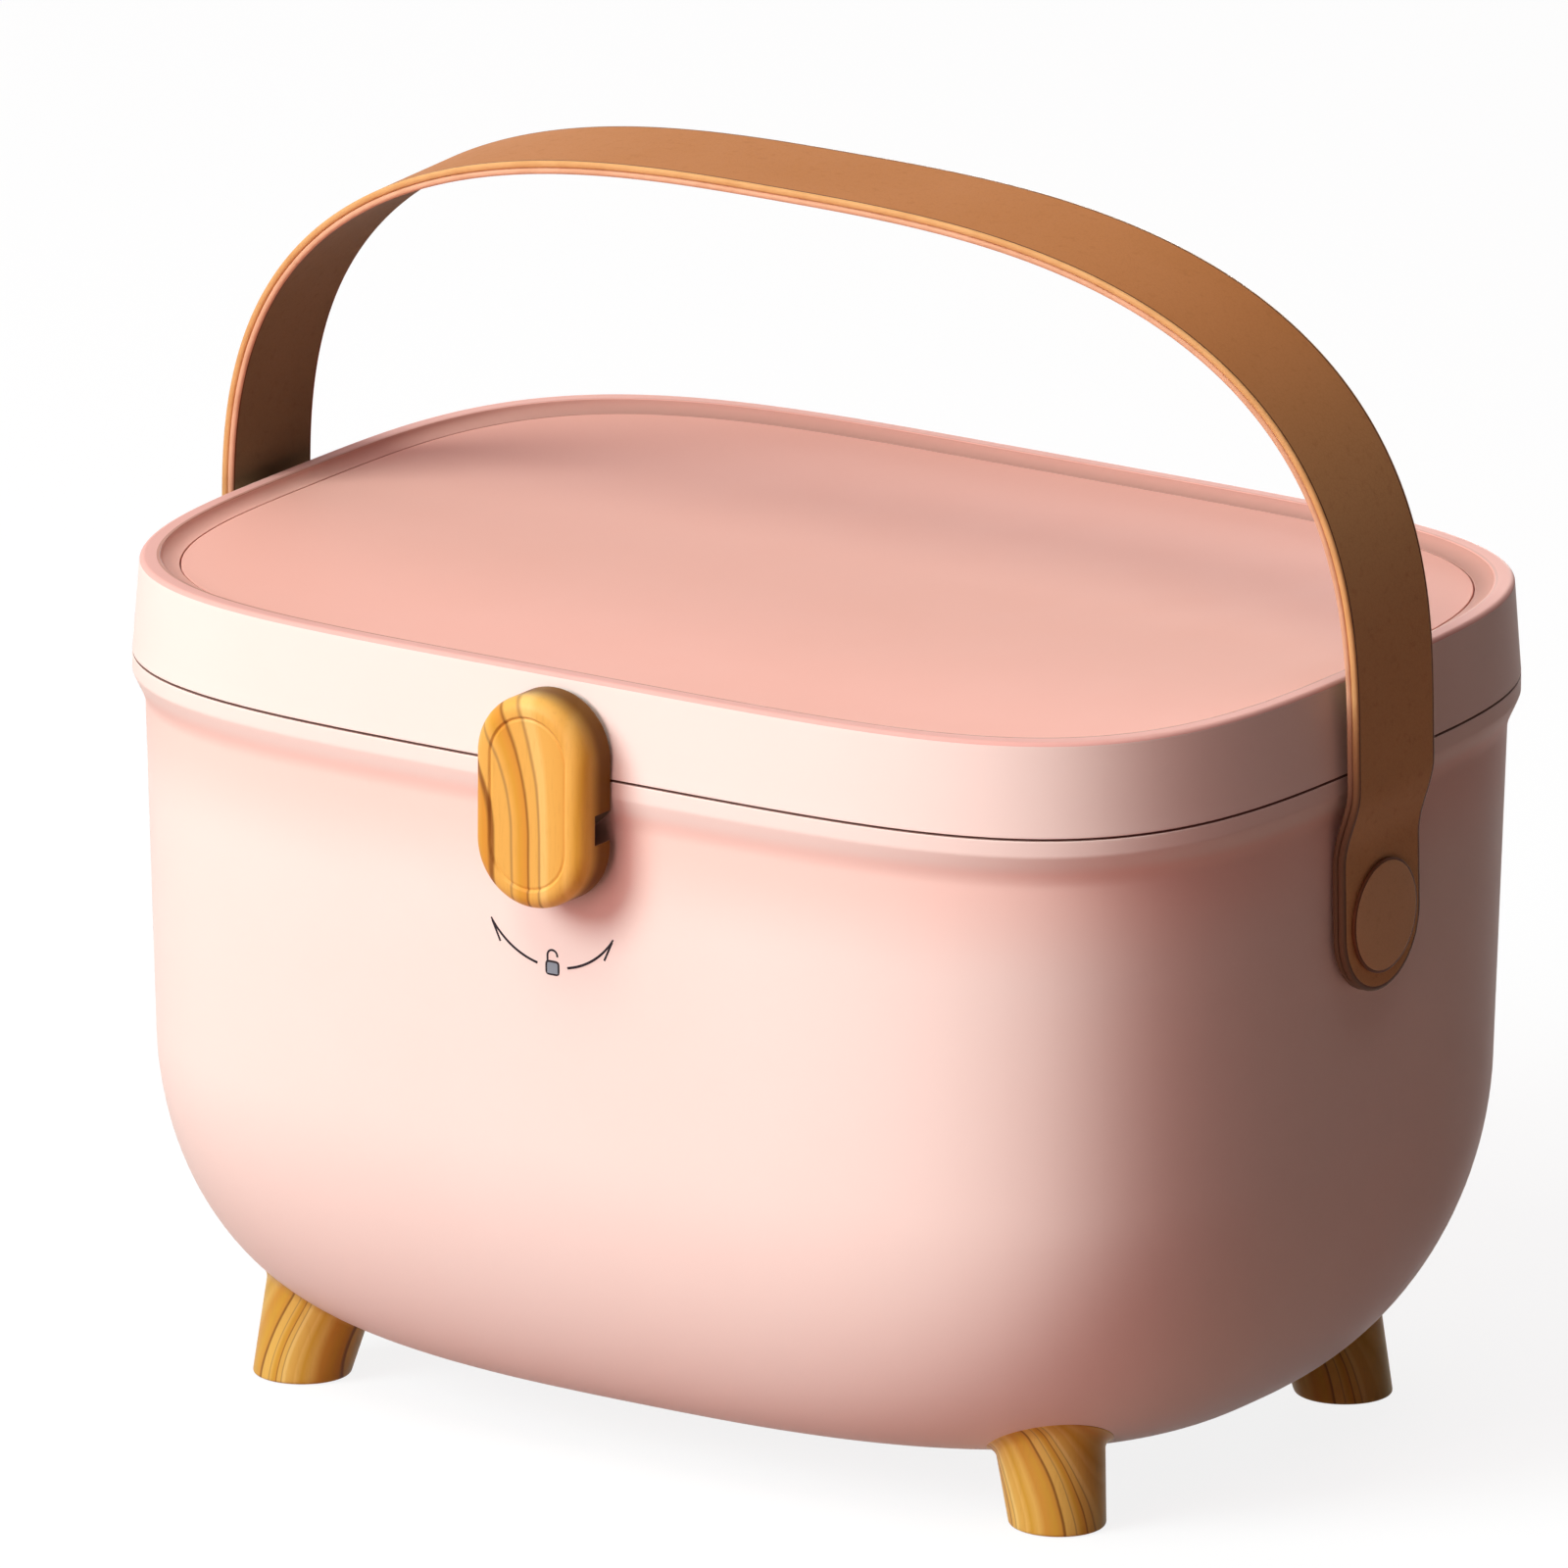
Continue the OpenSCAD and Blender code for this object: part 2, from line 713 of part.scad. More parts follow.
module inner_tray() {
    color("#f7f1ea")
        difference() {
            union() {
                tray_tub(0);
                loft([
                    plan_ring(smooth_in + rim_gap, tray_z - rim_t),
                    plan_ring(smooth_in + rim_gap, tray_z)
                ]);
            }
            difference() {
                tray_tub(tray_wall);
                tray_guides();
            }
        }
}

// Pairs of ribs that hold the ends of the dividers
divider_z = tub_z + tray_wall;
tub_inset = smooth_in + tray_side + tray_wall + tray_lean;
long_end = half_x - tub_inset;
short_end = edge_y(divider_x, tub_inset);
module tray_guides() {
    for (side = [-1, 1], pair = [-1, 1]) {
        offset_by = pair * (divider_t / 2 + divider_gap + guide / 2);
        translate([side * long_end - guide, offset_by - guide / 2, tub_z])
            cube([2 * guide, guide, tray_wall + divider_h]);
        translate([side * divider_x + offset_by - guide / 2, short_end - guide, tub_z])
            cube([guide, 2 * guide, tray_wall + divider_h]);
    }
}

// The bottom corners of a divider follow the rounded edge of the tub
module divider_plate(from, to, free) {
    corner = tray_round - tray_wall;
    rotate([90, 0, 0])
        linear_extrude(height = divider_t, center = true)
            polygon([
                [free ? from : from + corner, divider_z],
                [to - corner, divider_z],
                [to, divider_z + corner],
                [to, divider_z + divider_h],
                [from, divider_z + divider_h],
                [from, free ? divider_z : divider_z + corner]
            ]);
}

module divider_long() {
    color("#f0e4da") divider_plate(-long_end + divider_gap, long_end - divider_gap, false);
}

module divider_short(side) {
    color("#f0e4da")
        translate([side * divider_x, 0, 0]) rotate([0, 0, 90])
            divider_plate(divider_t / 2, short_end - divider_gap, true);
}

body_shell();
foot(-1, -1);  // foot_front_left
foot(1, -1);  // foot_front_right
foot(-1, 1);  // foot_back_left
foot(1, 1);  // foot_back_right
foot_screws();
catch_stud();
hinge_pin(-1);  // hinge_pin_left
hinge_pin(1);  // hinge_pin_right
rivet_cap(-1);  // rivet_cap_left
rivet_cap(1);  // rivet_cap_right
rivet_washer(-1);  // rivet_washer_left
rivet_washer(1);  // rivet_washer_right
rivet_nut(-1);  // rivet_nut_left
rivet_nut(1);  // rivet_nut_right
lid_shell();
lid_panel();
latch_cover();
latch_plate();
latch_screw();
latch_washer();
strap_outer();
strap_lining();
inner_tray();
divider_long();
divider_short(-1);  // divider_left
divider_short(1);  // divider_right
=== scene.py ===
import math

import bpy
import numpy as np
from mathutils import Matrix, Vector


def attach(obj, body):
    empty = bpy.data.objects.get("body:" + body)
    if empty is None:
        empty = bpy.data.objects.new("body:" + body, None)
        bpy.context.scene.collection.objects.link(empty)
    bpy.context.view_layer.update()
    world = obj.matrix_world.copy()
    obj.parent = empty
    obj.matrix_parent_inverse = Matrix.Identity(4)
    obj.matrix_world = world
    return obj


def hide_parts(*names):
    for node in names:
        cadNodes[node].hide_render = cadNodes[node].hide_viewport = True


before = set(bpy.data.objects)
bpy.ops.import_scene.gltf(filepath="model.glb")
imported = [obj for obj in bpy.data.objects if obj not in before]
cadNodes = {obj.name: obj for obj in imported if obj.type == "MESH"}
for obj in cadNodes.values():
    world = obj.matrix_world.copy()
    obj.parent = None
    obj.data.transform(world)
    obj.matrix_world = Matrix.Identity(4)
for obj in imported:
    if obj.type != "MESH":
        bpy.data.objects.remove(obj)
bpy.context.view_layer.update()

# The dressed medicine box. Sizes are in millimetres in the dictionaries and become metres in the
# meshes. X runs across the box, the latch is on the -Y side and Z is up from the floor.
mm = 0.001
print("frame loaded:", len(cadNodes), "nodes")


# Meshes

def gridFaces(rows, columns):
    # quads between neighbouring rows of a grid whose columns close into a ring
    i, j = np.meshgrid(np.arange(rows - 1) * columns, np.arange(columns), indexing="ij")
    beside = (j + 1) % columns
    return np.stack([i + j, i + beside, i + columns + beside, i + columns + j], axis=-1).reshape(-1, 4)


def addToScene(name, data):
    # an object for a mesh, a lamp or the camera
    made = bpy.data.objects.new(name, data)
    bpy.context.scene.collection.objects.link(made)
    return made


def meshObject(name, points, faces, materials=()):
    # points in metres, and each face as a list of their numbers
    mesh = bpy.data.meshes.new(name)
    mesh.from_pydata(points.reshape(-1, 3).tolist(), [], faces)
    for material in materials:
        mesh.materials.append(material)
    return addToScene(name, mesh)


def setSmooth(piece):
    piece.data.polygons.foreach_set("use_smooth", np.full(len(piece.data.polygons), True))


def makeObject(name, points, faces, materials=(), materialIndex=None):
    # a smooth mesh from a table of quads; points that coincide are merged, which closes the poles
    piece = meshObject(name, points, faces.tolist(), materials)
    if materialIndex is not None:
        piece.data.polygons.foreach_set("material_index", materialIndex.astype(np.int32))
    modify(piece, "WELD", merge_threshold=1e-6)
    setSmooth(piece)
    return piece


def modify(piece, kind, **settings):
    # one modifier, whose result becomes the piece's own mesh at once
    change = piece.modifiers.new(kind, kind)
    for key, setting in settings.items():
        setattr(change, key, setting)
    bpy.context.view_layer.update()
    graph = bpy.context.evaluated_depsgraph_get()
    settled = bpy.data.meshes.new_from_object(piece.evaluated_get(graph))
    old = piece.data
    piece.modifiers.clear()
    piece.data = settled
    settled.name = piece.name
    bpy.data.meshes.remove(old)


def gridObject(name, grid, materials=(), rowMaterial=None):
    # a closed surface from rows of rings; rowMaterial numbers the material of the faces above each row
    rows, columns = grid.shape[:2]
    index = None if rowMaterial is None else np.repeat(np.asarray(rowMaterial)[: rows - 1], columns)
    return makeObject(name, grid, gridFaces(rows, columns), materials, index)


def readAll(items, key, size=1):
    # one value, or a few, of every vertex, corner or face of a mesh
    values = np.zeros(len(items) * size)
    items.foreach_get(key, values)
    return values


def joinPieces(name, pieces, materials=()):
    # several meshes as one, with their places kept
    points, faces, count = [], [], 0
    for piece in pieces:
        place = readAll(piece.data.vertices, "co", 3)
        points.append(place.reshape(-1, 3))
        corners = readAll(piece.data.loops, "vertex_index").astype(int) + count
        faces += np.split(corners, readAll(piece.data.polygons, "loop_start").astype(int)[1:])
        count += len(piece.data.vertices)
        bpy.data.objects.remove(piece)
    return meshObject(name, np.concatenate(points), faces, materials)


def carve(piece, tool, operation="DIFFERENCE"):
    # one Boolean; the tool goes
    modify(piece, "BOOLEAN", operation=operation, solver="EXACT", object=tool)
    bpy.data.objects.remove(tool)


def softenEdges(piece, width):
    # a round of two facets along every edge that bends by more than 35 degrees
    limit = {"limit_method": "ANGLE", "angle_limit": math.radians(35)}
    modify(piece, "BEVEL", width=width * mm, segments=2, **limit)


def shadeByAngle(piece, angle=32):
    # smooth everywhere except over edges that bend by more than the angle
    setSmooth(piece)
    piece.data.set_sharp_from_angle(angle=math.radians(angle))


def prism(name, outline, start, end, soft, axis="z"):
    # an outline, anticlockwise as seen from the far end of the axis, carried along it and softened
    outline = np.asarray(outline, float)
    count = len(outline)
    ends = [towards(np.column_stack([outline, np.full(count, place)]), axis) for place in (start, end)]
    sides = np.column_stack([np.arange(count), (np.arange(count) + 1) % count])
    faces = np.column_stack([sides, sides[:, ::-1] + count]).tolist()
    faces += [list(range(count))[::-1], list(range(count, 2 * count))]
    piece = meshObject(name, np.concatenate(ends) * mm, faces)
    if soft:
        softenEdges(piece, soft)
    return piece


def boxPiece(name, low, high, soft=0.0):
    # a small block between two corners
    (west, south, bottom), (east, north, top) = low, high
    return prism(name, [(west, south), (east, south), (east, north), (west, north)], bottom, top, soft)


def latheGrid(radius, along, count):
    # a profile of radii and places along an axis, turned once round that axis; the axis is local Z
    turn = np.linspace(0, 2 * np.pi, count, endpoint=False)
    radius, along = np.asarray(radius, float), np.asarray(along, float)
    x = radius[:, None] * np.cos(turn)
    y = radius[:, None] * np.sin(turn)
    return np.stack([x, y, np.repeat(along[:, None], count, axis=1)], axis=-1)


def towards(grid, axis):
    # turns local Z into "x", "-x", "y" or "-y" without turning a surface inside out
    a, b, c = grid[..., 0], grid[..., 1], grid[..., 2]
    turned = {"x": (c, a, b), "-x": (-c, -a, b), "y": (-a, c, b), "-y": (a, -c, b), "z": (a, b, c)}[axis]
    return np.stack(turned, axis=-1)


def rod(name, axis, radius, start, end, centre, count=48):
    # a closed round rod along an axis, from start to end along it, through a centre
    grid = latheGrid([0, radius, radius, 0], [start, start, end, end], count)
    return gridObject(name, (towards(grid, axis) + np.array(centre, float)) * mm)


def smoothStep(t):
    # three times the square less twice the cube, level at 0 and at 1
    t = np.clip(t, 0, 1)
    return t * t * (3 - 2 * t)


def signedPower(value, power):
    # a power of the size, with the value's own sign
    return np.sign(value) * np.abs(value) ** power


def lengthAlong(x, y):
    # the sum of the straight steps up to each point of a line
    return np.concatenate([[0], np.cumsum(np.hypot(np.diff(x), np.diff(y)))])


def arc(start, end, steps):
    # even steps between two angles in degrees
    return np.radians(np.linspace(start, end, steps))


def quarterTurn(steps):
    # the two courses of a quarter circle: 1 - cos rises from 0 to 1 and 1 - sin falls from 1 to 0
    q = arc(0, 90, steps)
    return 1 - np.cos(q), 1 - np.sin(q)


def direction(azimuth, elevation):
    # the unit vector at an angle round Z, counted from X, and an angle up from level, both in radians
    level = math.cos(elevation)
    return np.array([level * math.cos(azimuth), level * math.sin(azimuth), math.sin(elevation)])


# Materials

def operator(operation):
    # a Python operator that adds a maths node, and its form with the socket on the right
    def onLeft(self, other):
        return self.maths(operation, self, other)

    def onRight(self, other):
        return self.maths(operation, other, self)

    return onLeft, onRight


class Value:
    # a socket of a material's tree that can stand in a Python expression
    def __init__(self, finish, socket):
        self.finish, self.socket = finish, socket

    def maths(self, operation, first, second):
        return self.finish.node("Math", {"operation": operation}, {0: first, 1: second})

    __add__, __radd__ = operator("ADD")
    __sub__, __rsub__ = operator("SUBTRACT")
    __mul__, __rmul__ = operator("MULTIPLY")
    __truediv__, __rtruediv__ = operator("DIVIDE")


class Finish:
    # a material, or the world, being built from nodes
    def __init__(self, name, kind=bpy.data.materials):
        self.material = kind.new(name)
        self.material.use_nodes = True
        self.tree = self.material.node_tree
        self.tree.nodes.clear()
        self.objectPlace = self.node("TexCoord", {}, {}, "Object")

    def node(self, kind, settings, values, output=0):
        # any node: its settings first, then the values or links of its sockets
        made = self.tree.nodes.new("ShaderNode" + kind)
        for key, setting in settings.items():
            if key == "stops":
                self.setStops(made.color_ramp, setting)
            else:
                setattr(made, key, setting)
        for key, value in values.items():
            socket = made.inputs[key]
            if isinstance(value, Value):
                self.tree.links.new(value.socket, socket)
            else:
                socket.default_value = value
        return Value(self, made.outputs[output])

    def setStops(self, ramp, stops):
        while len(ramp.elements) < len(stops):
            ramp.elements.new(0.5)
        for element, (place, colour) in zip(ramp.elements, stops):
            element.position = place
            element.color = (*colour, 1)

    def noise(self, scale, detail=3, roughness=0.5, stretch=(1, 1, 1)):
        # soft noise of a size, drawn out along an axis where that axis is stretched by less than 1
        place = self.node("Mapping", {}, {"Vector": self.objectPlace, "Scale": stretch})
        values = {"Vector": place, "Scale": scale, "Detail": detail, "Roughness": roughness}
        return self.node("TexNoise", {}, values)

    def spread(self, value, low, high, newLow, newHigh):
        # a range of values laid over another one, level at both ends
        values = {"Value": value, "From Min": low, "From Max": high, "To Min": newLow, "To Max": newHigh}
        return self.node("MapRange", {"interpolation_type": "SMOOTHSTEP"}, values)

    def mixColour(self, share, first, second, blend="MIX"):
        first, second = (c if isinstance(c, Value) else (*c, 1) for c in (first, second))
        settings = {"data_type": "RGBA", "blend_type": blend}
        return self.node("Mix", settings, {0: share, 6: first, 7: second}, 2)

    def faded(self, tint, fade):
        # along one axis the colour passes into a second one, and beyond a point back again
        if not fade:
            return tint
        place = self.node("SeparateXYZ", {}, {0: self.objectPlace}, fade["axis"])
        share = self.spread(place, *fade["starts"], 0, 1) * self.spread(place, *fade["ends"], 1, 0)
        return self.mixColour(share, tint, fade["colour"])

    def bump(self, height, strength, distance):
        return self.node("Bump", {}, {"Strength": strength, "Distance": distance, "Height": height})

    def finish(self, colour, roughness, normal, gloss, metallic=0.0):
        values = {"Base Color": colour, "Roughness": roughness, "Normal": normal}
        values.update({"Specular IOR Level": gloss, "Metallic": metallic})
        return self.close(self.node("BsdfPrincipled", {}, values))

    def close(self, shader, kind="OutputMaterial"):
        end = self.tree.nodes.new("ShaderNode" + kind)
        self.tree.links.new(shader.socket, end.inputs["Surface"])
        return self.material


glossLevel = {
    "plastic": 0.05,
    "wood": 0.12,
    "leather": 0.03,
    "paint": 0.05,
    "metal": 0.5,
}


def mouldedPlastic(name, colour, cloud, roughness=0.46, fade=None):
    # satin moulded plastic: faint clouds in the colour, an uneven sheen and a very fine moulded grain
    f = Finish(name)
    clouds = f.spread(f.noise(14), 0.35, 0.65, 0, 1)
    tint = f.faded(f.mixColour(clouds * 0.5, colour, cloud), fade)
    sheen = roughness - 0.05 + f.noise(60, 2) * 0.1
    return f.finish(tint, sheen, f.bump(f.noise(2600, 2), 0.25, 0.02 * mm), glossLevel["plastic"])


def woodLook(name, grain):
    # growth lines: the place that a line has at the bottom is
    # (across + bend * height^2) / (1 + fan * height^2), plus a share of the depth and noise
    f = Finish(name)
    across, depth, along = (f.node("SeparateXYZ", {}, {0: f.objectPlace}, axis) for axis in range(3))
    height = f.node("Math", {"operation": "MAXIMUM"}, {0: along - grain["bendFrom"], 1: 0.0})
    lifted = height * height
    sway = (f.noise(grain["swayScale"], 2) - 0.5) * grain["sway"]
    foot = (across + lifted * grain["bend"]) / (lifted * grain["fan"] + 1) + depth * grain["depth"] + sway
    waver = f.noise(260, 2, 0.4, (1, 1, 0.25)) - 0.5
    counted = foot * grain["perMetre"] + waver * grain["waver"] + grain["start"]
    lines = f.node("Math", {"operation": "FRACT"}, {0: counted})
    colours = f.node("ValToRGB", {"stops": grain["stops"]}, {0: lines})
    fibres = f.noise(1500, 3, 0.6, (1, 1, 0.1))
    fineDark = f.spread(fibres, 0.28, 0.5, 0.2, 0.0)
    colour = f.mixColour(fineDark, colours, grain["line"])
    # towards the back the colour is multiplied by a darker one: painted shade on the latch's sides near
    # the wall; on the feet the range lies beyond the foot, so there it is an even tint
    shadeAndTintShare = f.spread(depth, grain["darkFrom"], grain["darkTo"], 0, 1)
    shown = f.mixColour(shadeAndTintShare, colour, grain["dark"], "MULTIPLY")
    return f.finish(shown, 0.36 + fibres * 0.1, f.bump(fibres, 0.2, 0.04 * mm), glossLevel["wood"])


def leather(name, colour, shade, light, roughness=0.5, relief=0.05, fade=None):
    # smooth finished leather: slow clouds, small pores and fine creases
    f = Finish(name)
    clouds = f.spread(f.noise(22), 0.3, 0.7, 0, 1)
    base = f.faded(f.mixColour(clouds * 0.6, colour, light), fade)
    pores = f.node("TexVoronoi", {"feature": "DISTANCE_TO_EDGE"}, {"Vector": f.objectPlace, "Scale": 900})
    creases = f.spread(pores, 0.0, 0.12, 0, 1)
    spots = f.noise(420, 3, 0.6)
    worn = f.mixColour((1 - creases) * 0.12 + f.spread(spots, 0.55, 0.75, 0, 0.2), base, shade)
    sheen = roughness - 0.06 + spots * 0.12
    height = creases * 0.6 + spots * 0.4
    return f.finish(worn, sheen, f.bump(height, 0.35, relief * mm), glossLevel["leather"])


def paintedEdge(name, colour, shade, fade=None):
    # paint, ink or shade on a narrow face: nearly even, slightly uneven in height and tone
    f = Finish(name)
    spots = f.spread(f.noise(160), 0.35, 0.7, 0, 0.6)
    tint = f.faded(f.mixColour(spots, colour, shade), fade)
    fine = f.noise(900, 2)
    return f.finish(tint, 0.36 + fine * 0.12, f.bump(fine, 0.3, 0.04 * mm), glossLevel["paint"])


def metal(name, colour, roughness):
    # plated steel with faint turning marks
    f = Finish(name)
    marks = f.noise(700, 2, stretch=(1, 1, 14))
    tint = f.mixColour(marks * 0.3, colour, tuple(0.8 * c for c in colour))
    sheen = roughness - 0.06 + marks * 0.12
    return f.finish(tint, sheen, f.bump(marks, 0.2, 0.02 * mm), glossLevel["metal"], 1.0)


pinkPlastic = mouldedPlastic("pinkPlastic", (0.93, 0.77, 0.70), (0.93, 0.745, 0.67))
# painted shade: a darker copy of the pink plastic, for the inside of the lid
shadedInnerPlastic = mouldedPlastic("shadedInnerPlastic", (0.72, 0.54, 0.48), (0.70, 0.51, 0.45), 0.5)
# painted shade: the body turns pinker and darker in a band just under the flange's step
paintedShadeUnderStep = {"axis": 2, "starts": (0.138, 0.163), "ends": (0.1655, 0.169), "colour": (0.93, 0.66, 0.58)}
bodyPlastic = mouldedPlastic("bodyPlastic", (0.93, 0.77, 0.70), (0.93, 0.745, 0.67), fade=paintedShadeUnderStep)
salmonPlastic = mouldedPlastic("salmonPlastic", (0.905, 0.474, 0.392), (0.885, 0.457, 0.37), 0.5)
# painted light: towards the back the rim is painted a lighter salmon
paintedLightFarRim = {"axis": 1, "starts": (0.02, 0.09), "ends": (0.2, 0.3), "colour": (0.92, 0.51, 0.44)}
rimPlastic = mouldedPlastic("rimPlastic", (0.81, 0.44, 0.385), (0.80, 0.42, 0.365), 0.5, fade=paintedLightFarRim)
# painted shade: towards the back the slope is painted darker
paintedShadeFarSlope = {"axis": 1, "starts": (0.01, 0.095), "ends": (0.2, 0.3), "colour": (0.56, 0.305, 0.25)}
slopePlastic = mouldedPlastic("slopePlastic", (0.84, 0.45, 0.37), (0.82, 0.43, 0.35), 0.5, fade=paintedShadeFarSlope)
whitePlastic = mouldedPlastic("whitePlastic", (0.80, 0.76, 0.72), (0.77, 0.73, 0.68), 0.42)
darkPlasticAndNotchShade = mouldedPlastic("darkPlasticAndNotchShade", (0.06, 0.035, 0.02), (0.04, 0.025, 0.015), 0.5)
steel = metal("steel", (0.62, 0.62, 0.63), 0.34)
# painted light: the strap's leather is painted lighter low down, towards the rivets
paintedLightLowStrap = {"axis": 2, "starts": (0.08, 0.1), "ends": (0.22, 0.28), "colour": (0.63, 0.352, 0.155)}
strapTones = (0.505, 0.196, 0.064), (0.34, 0.122, 0.042), (0.55, 0.223, 0.083)
strapLeather = leather("strapLeather", *strapTones, fade=paintedLightLowStrap)
liningTones = (0.215, 0.155, 0.083), (0.135, 0.085, 0.047), (0.245, 0.178, 0.1)
liningLeather = leather("liningLeather", *liningTones, 0.6)
rivetTones = (0.71, 0.445, 0.24), (0.47, 0.27, 0.145), (0.75, 0.48, 0.262)
rivetFinish = leather("rivetFinish", *rivetTones, 0.45, 0.02)
# painted shade: the strap's painted edges darken low down, towards the rivets
paintedShadeLowEdge = {"axis": 2, "starts": (0.08, 0.1), "ends": (0.158, 0.21), "colour": (0.16, 0.095, 0.055)}
edgePaint = paintedEdge("edgePaint", (0.68, 0.37, 0.15), (0.60, 0.30, 0.11), paintedShadeLowEdge)
liningEdge = paintedEdge("liningEdge", (0.72, 0.40, 0.25), (0.62, 0.32, 0.18), paintedShadeLowEdge)
seamShade = paintedEdge("seamShade", (0.30, 0.17, 0.14), (0.24, 0.13, 0.11))
# painted shade: a dark line along the rim's inner edge, fading into the rim's colour towards the back
rimShadeLineFarFade = {"axis": 1, "starts": (-0.03, 0.06), "ends": (0.2, 0.3), "colour": (0.80, 0.44, 0.37)}
rimShadeLine = paintedEdge("rimShadeLine", (0.56, 0.26, 0.20), (0.52, 0.24, 0.18), rimShadeLineFarFade)
# a dark line beside the strap's faces; on the rivet caps' edges it is painted shade
edgeLineAndCapShade = paintedEdge("edgeLineAndCapShade", (0.16, 0.06, 0.025), (0.10, 0.04, 0.02))
inkDark = paintedEdge("inkDark", (0.035, 0.028, 0.032), (0.025, 0.02, 0.025))
inkGrey = paintedEdge("inkGrey", (0.27, 0.31, 0.35), (0.23, 0.27, 0.31))
golden, amber = (0.675, 0.33, 0.042), (0.665, 0.287, 0.043)
honey, pale = (0.77, 0.418, 0.092), (0.855, 0.522, 0.154)
darkLine, greyLine = (0.28, 0.105, 0.02), (0.43, 0.23, 0.07)
woodStops = [
    (0.0, golden), (0.075, amber), (0.097, darkLine), (0.112, darkLine), (0.127, honey), (0.222, honey),
    (0.235, greyLine), (0.248, honey), (0.29, golden), (0.335, amber), (0.348, darkLine), (0.362, honey),
    (0.41, honey), (0.423, greyLine), (0.436, pale), (0.465, pale), (0.49, honey),
    (0.575, (0.73, 0.374, 0.074)), (0.6, (0.79, 0.435, 0.105)),
    (0.675, golden), (0.775, honey), (0.875, amber), (1.0, golden),
]
latchGrain = {
    "bendFrom": 0.1617,
    "bend": 8.5,
    "fan": 900.0,
    "depth": 0.1,
    "swayScale": 24,
    "sway": 0.0015,
    "waver": 0.012,
    "perMetre": 25,
    "start": 0.6545,
    "stops": woodStops,
    "line": (0.52, 0.25, 0.05),
    # painted shade: the latch's sides darken towards the back, where they meet the wall
    "darkFrom": -0.123,
    "darkTo": -0.1163,
    "dark": (0.24, 0.165, 0.035),
}
footGrain = dict(latchGrain, bendFrom=-0.004, fan=0.0, depth=0.35, sway=0.004, perMetre=52)
# on the feet the range lies beyond the whole foot, so the colour below is an even tint, not shade
footGrain.update(darkFrom=-2.0, darkTo=-1.0, dark=(0.9, 1.03, 1.06))
latchWood = woodLook("latchWood", latchGrain)
footWood = {
    -1: woodLook("footWoodLeft", dict(footGrain, bend=-13.0, start=0.1)),
    1: woodLook("footWoodRight", dict(footGrain, bend=14.0, start=0.5)),
}
print("materials made")


def dress(piece, bodyName, slot, *nodes):
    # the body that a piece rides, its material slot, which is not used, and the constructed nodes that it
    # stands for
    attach(piece, bodyName)
    if nodes:
        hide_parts(*nodes)


# The plan shared by body, lid and tray: a superellipse whose outline is cut into equal lengths

plan = {
    "halfX": 151.4,
    "halfY": 112.4,
    "squareX": 4.7,
    "squareY": 3.4,
    "columns": 320,
}


def evenAngles(count):
    # angles that cut one quadrant of the seam's outline into equal lengths, mirrored to all four
    v = np.linspace(0, 1, 8001)
    t = np.pi / 2 * v**4 / (v**4 + (1 - v) ** 4)
    x = plan["halfX"] * np.abs(np.cos(t)) ** (2 / plan["squareX"])
    y = plan["halfY"] * np.abs(np.sin(t)) ** (2 / plan["squareY"])
    length = lengthAlong(x, y)
    quarter = np.interp(np.linspace(0, length[-1], count // 4 + 1), length, t)
    first = quarter[:-1]
    back = np.pi - quarter[:0:-1]
    return np.concatenate([first, back, first + np.pi, back + np.pi])


planAngles = evenAngles(plan["columns"])


def superRings(inset, z, squareX, squareY, scale=1.0):
    # x = half width * |cos|^(2/squareness) and y alike with sin, both signed; one ring for each row
    inset, z, squareX, squareY, scale = np.broadcast_arrays(inset, z, squareX, squareY, scale)
    x = ((plan["halfX"] - inset) * scale)[:, None] * signedPower(np.cos(planAngles), 2 / squareX[:, None])
    y = ((plan["halfY"] - inset) * scale)[:, None] * signedPower(np.sin(planAngles), 2 / squareY[:, None])
    return np.stack([x, y, np.repeat(z[:, None], len(planAngles), axis=1)], axis=-1) * mm


def planRings(inset, z, scale=1.0):
    return superRings(inset, z, plan["squareX"], plan["squareY"], scale)


def planEdge(place, inset, known="X", wanted="Y"):
    # where the plan's edge crosses a given x, or a given y
    share = (abs(place) / (plan["half" + known] - inset)) ** plan["square" + known]
    return (plan["half" + wanted] - inset) * (1 - share) ** (1 / plan["square" + wanted])


# Body

body = {
    "floorGap": 12.5,
    "seam": 175.0,
    "wall": 2.6,
    "floor": 3.0,
    "flangeOut": 2.2,
    "flangeHeight": 4.0,
    "stepHeight": 8.5,
    "draft": 0.022,
    "roundWide": 38.5,
    "roundHigh": 70.8,
    "bottomX": 2.4,
    "bottomY": 2.2,
    "edge": 0.4,
}
stepZ = body["seam"] - body["flangeHeight"] - body["stepHeight"]
roundZ = body["floorGap"] + body["roundHigh"]


def wallInset(z):
    # the depth of the step below the flange plus the draft times the way down
    return body["flangeOut"] + body["draft"] * (stepZ - z)


bottomInset = wallInset(body["floorGap"]) + body["roundWide"]


def squareness(base):
    # the plan grows rounder towards the bottom, in step with how far it is drawn in
    share = np.maximum(base, 0) / bottomInset
    squareX = plan["squareX"] + (body["bottomX"] - plan["squareX"]) * share
    return squareX, plan["squareY"] + (body["bottomY"] - plan["squareY"]) * share


def bodyRings(base, z, side=0.0, scale=1.0):
    return superRings(base + side, z, *squareness(base), scale)


def roundingRows(steps, high, upwards=True):
    # the large rounding: an ellipse quarter from the flat bottom to the wall
    s = arc(90, 0, steps) if upwards else arc(0, 90, steps)
    z = roundZ - high * np.sin(s)
    return wallInset(z) + body["roundWide"] * (1 - np.cos(s)), z


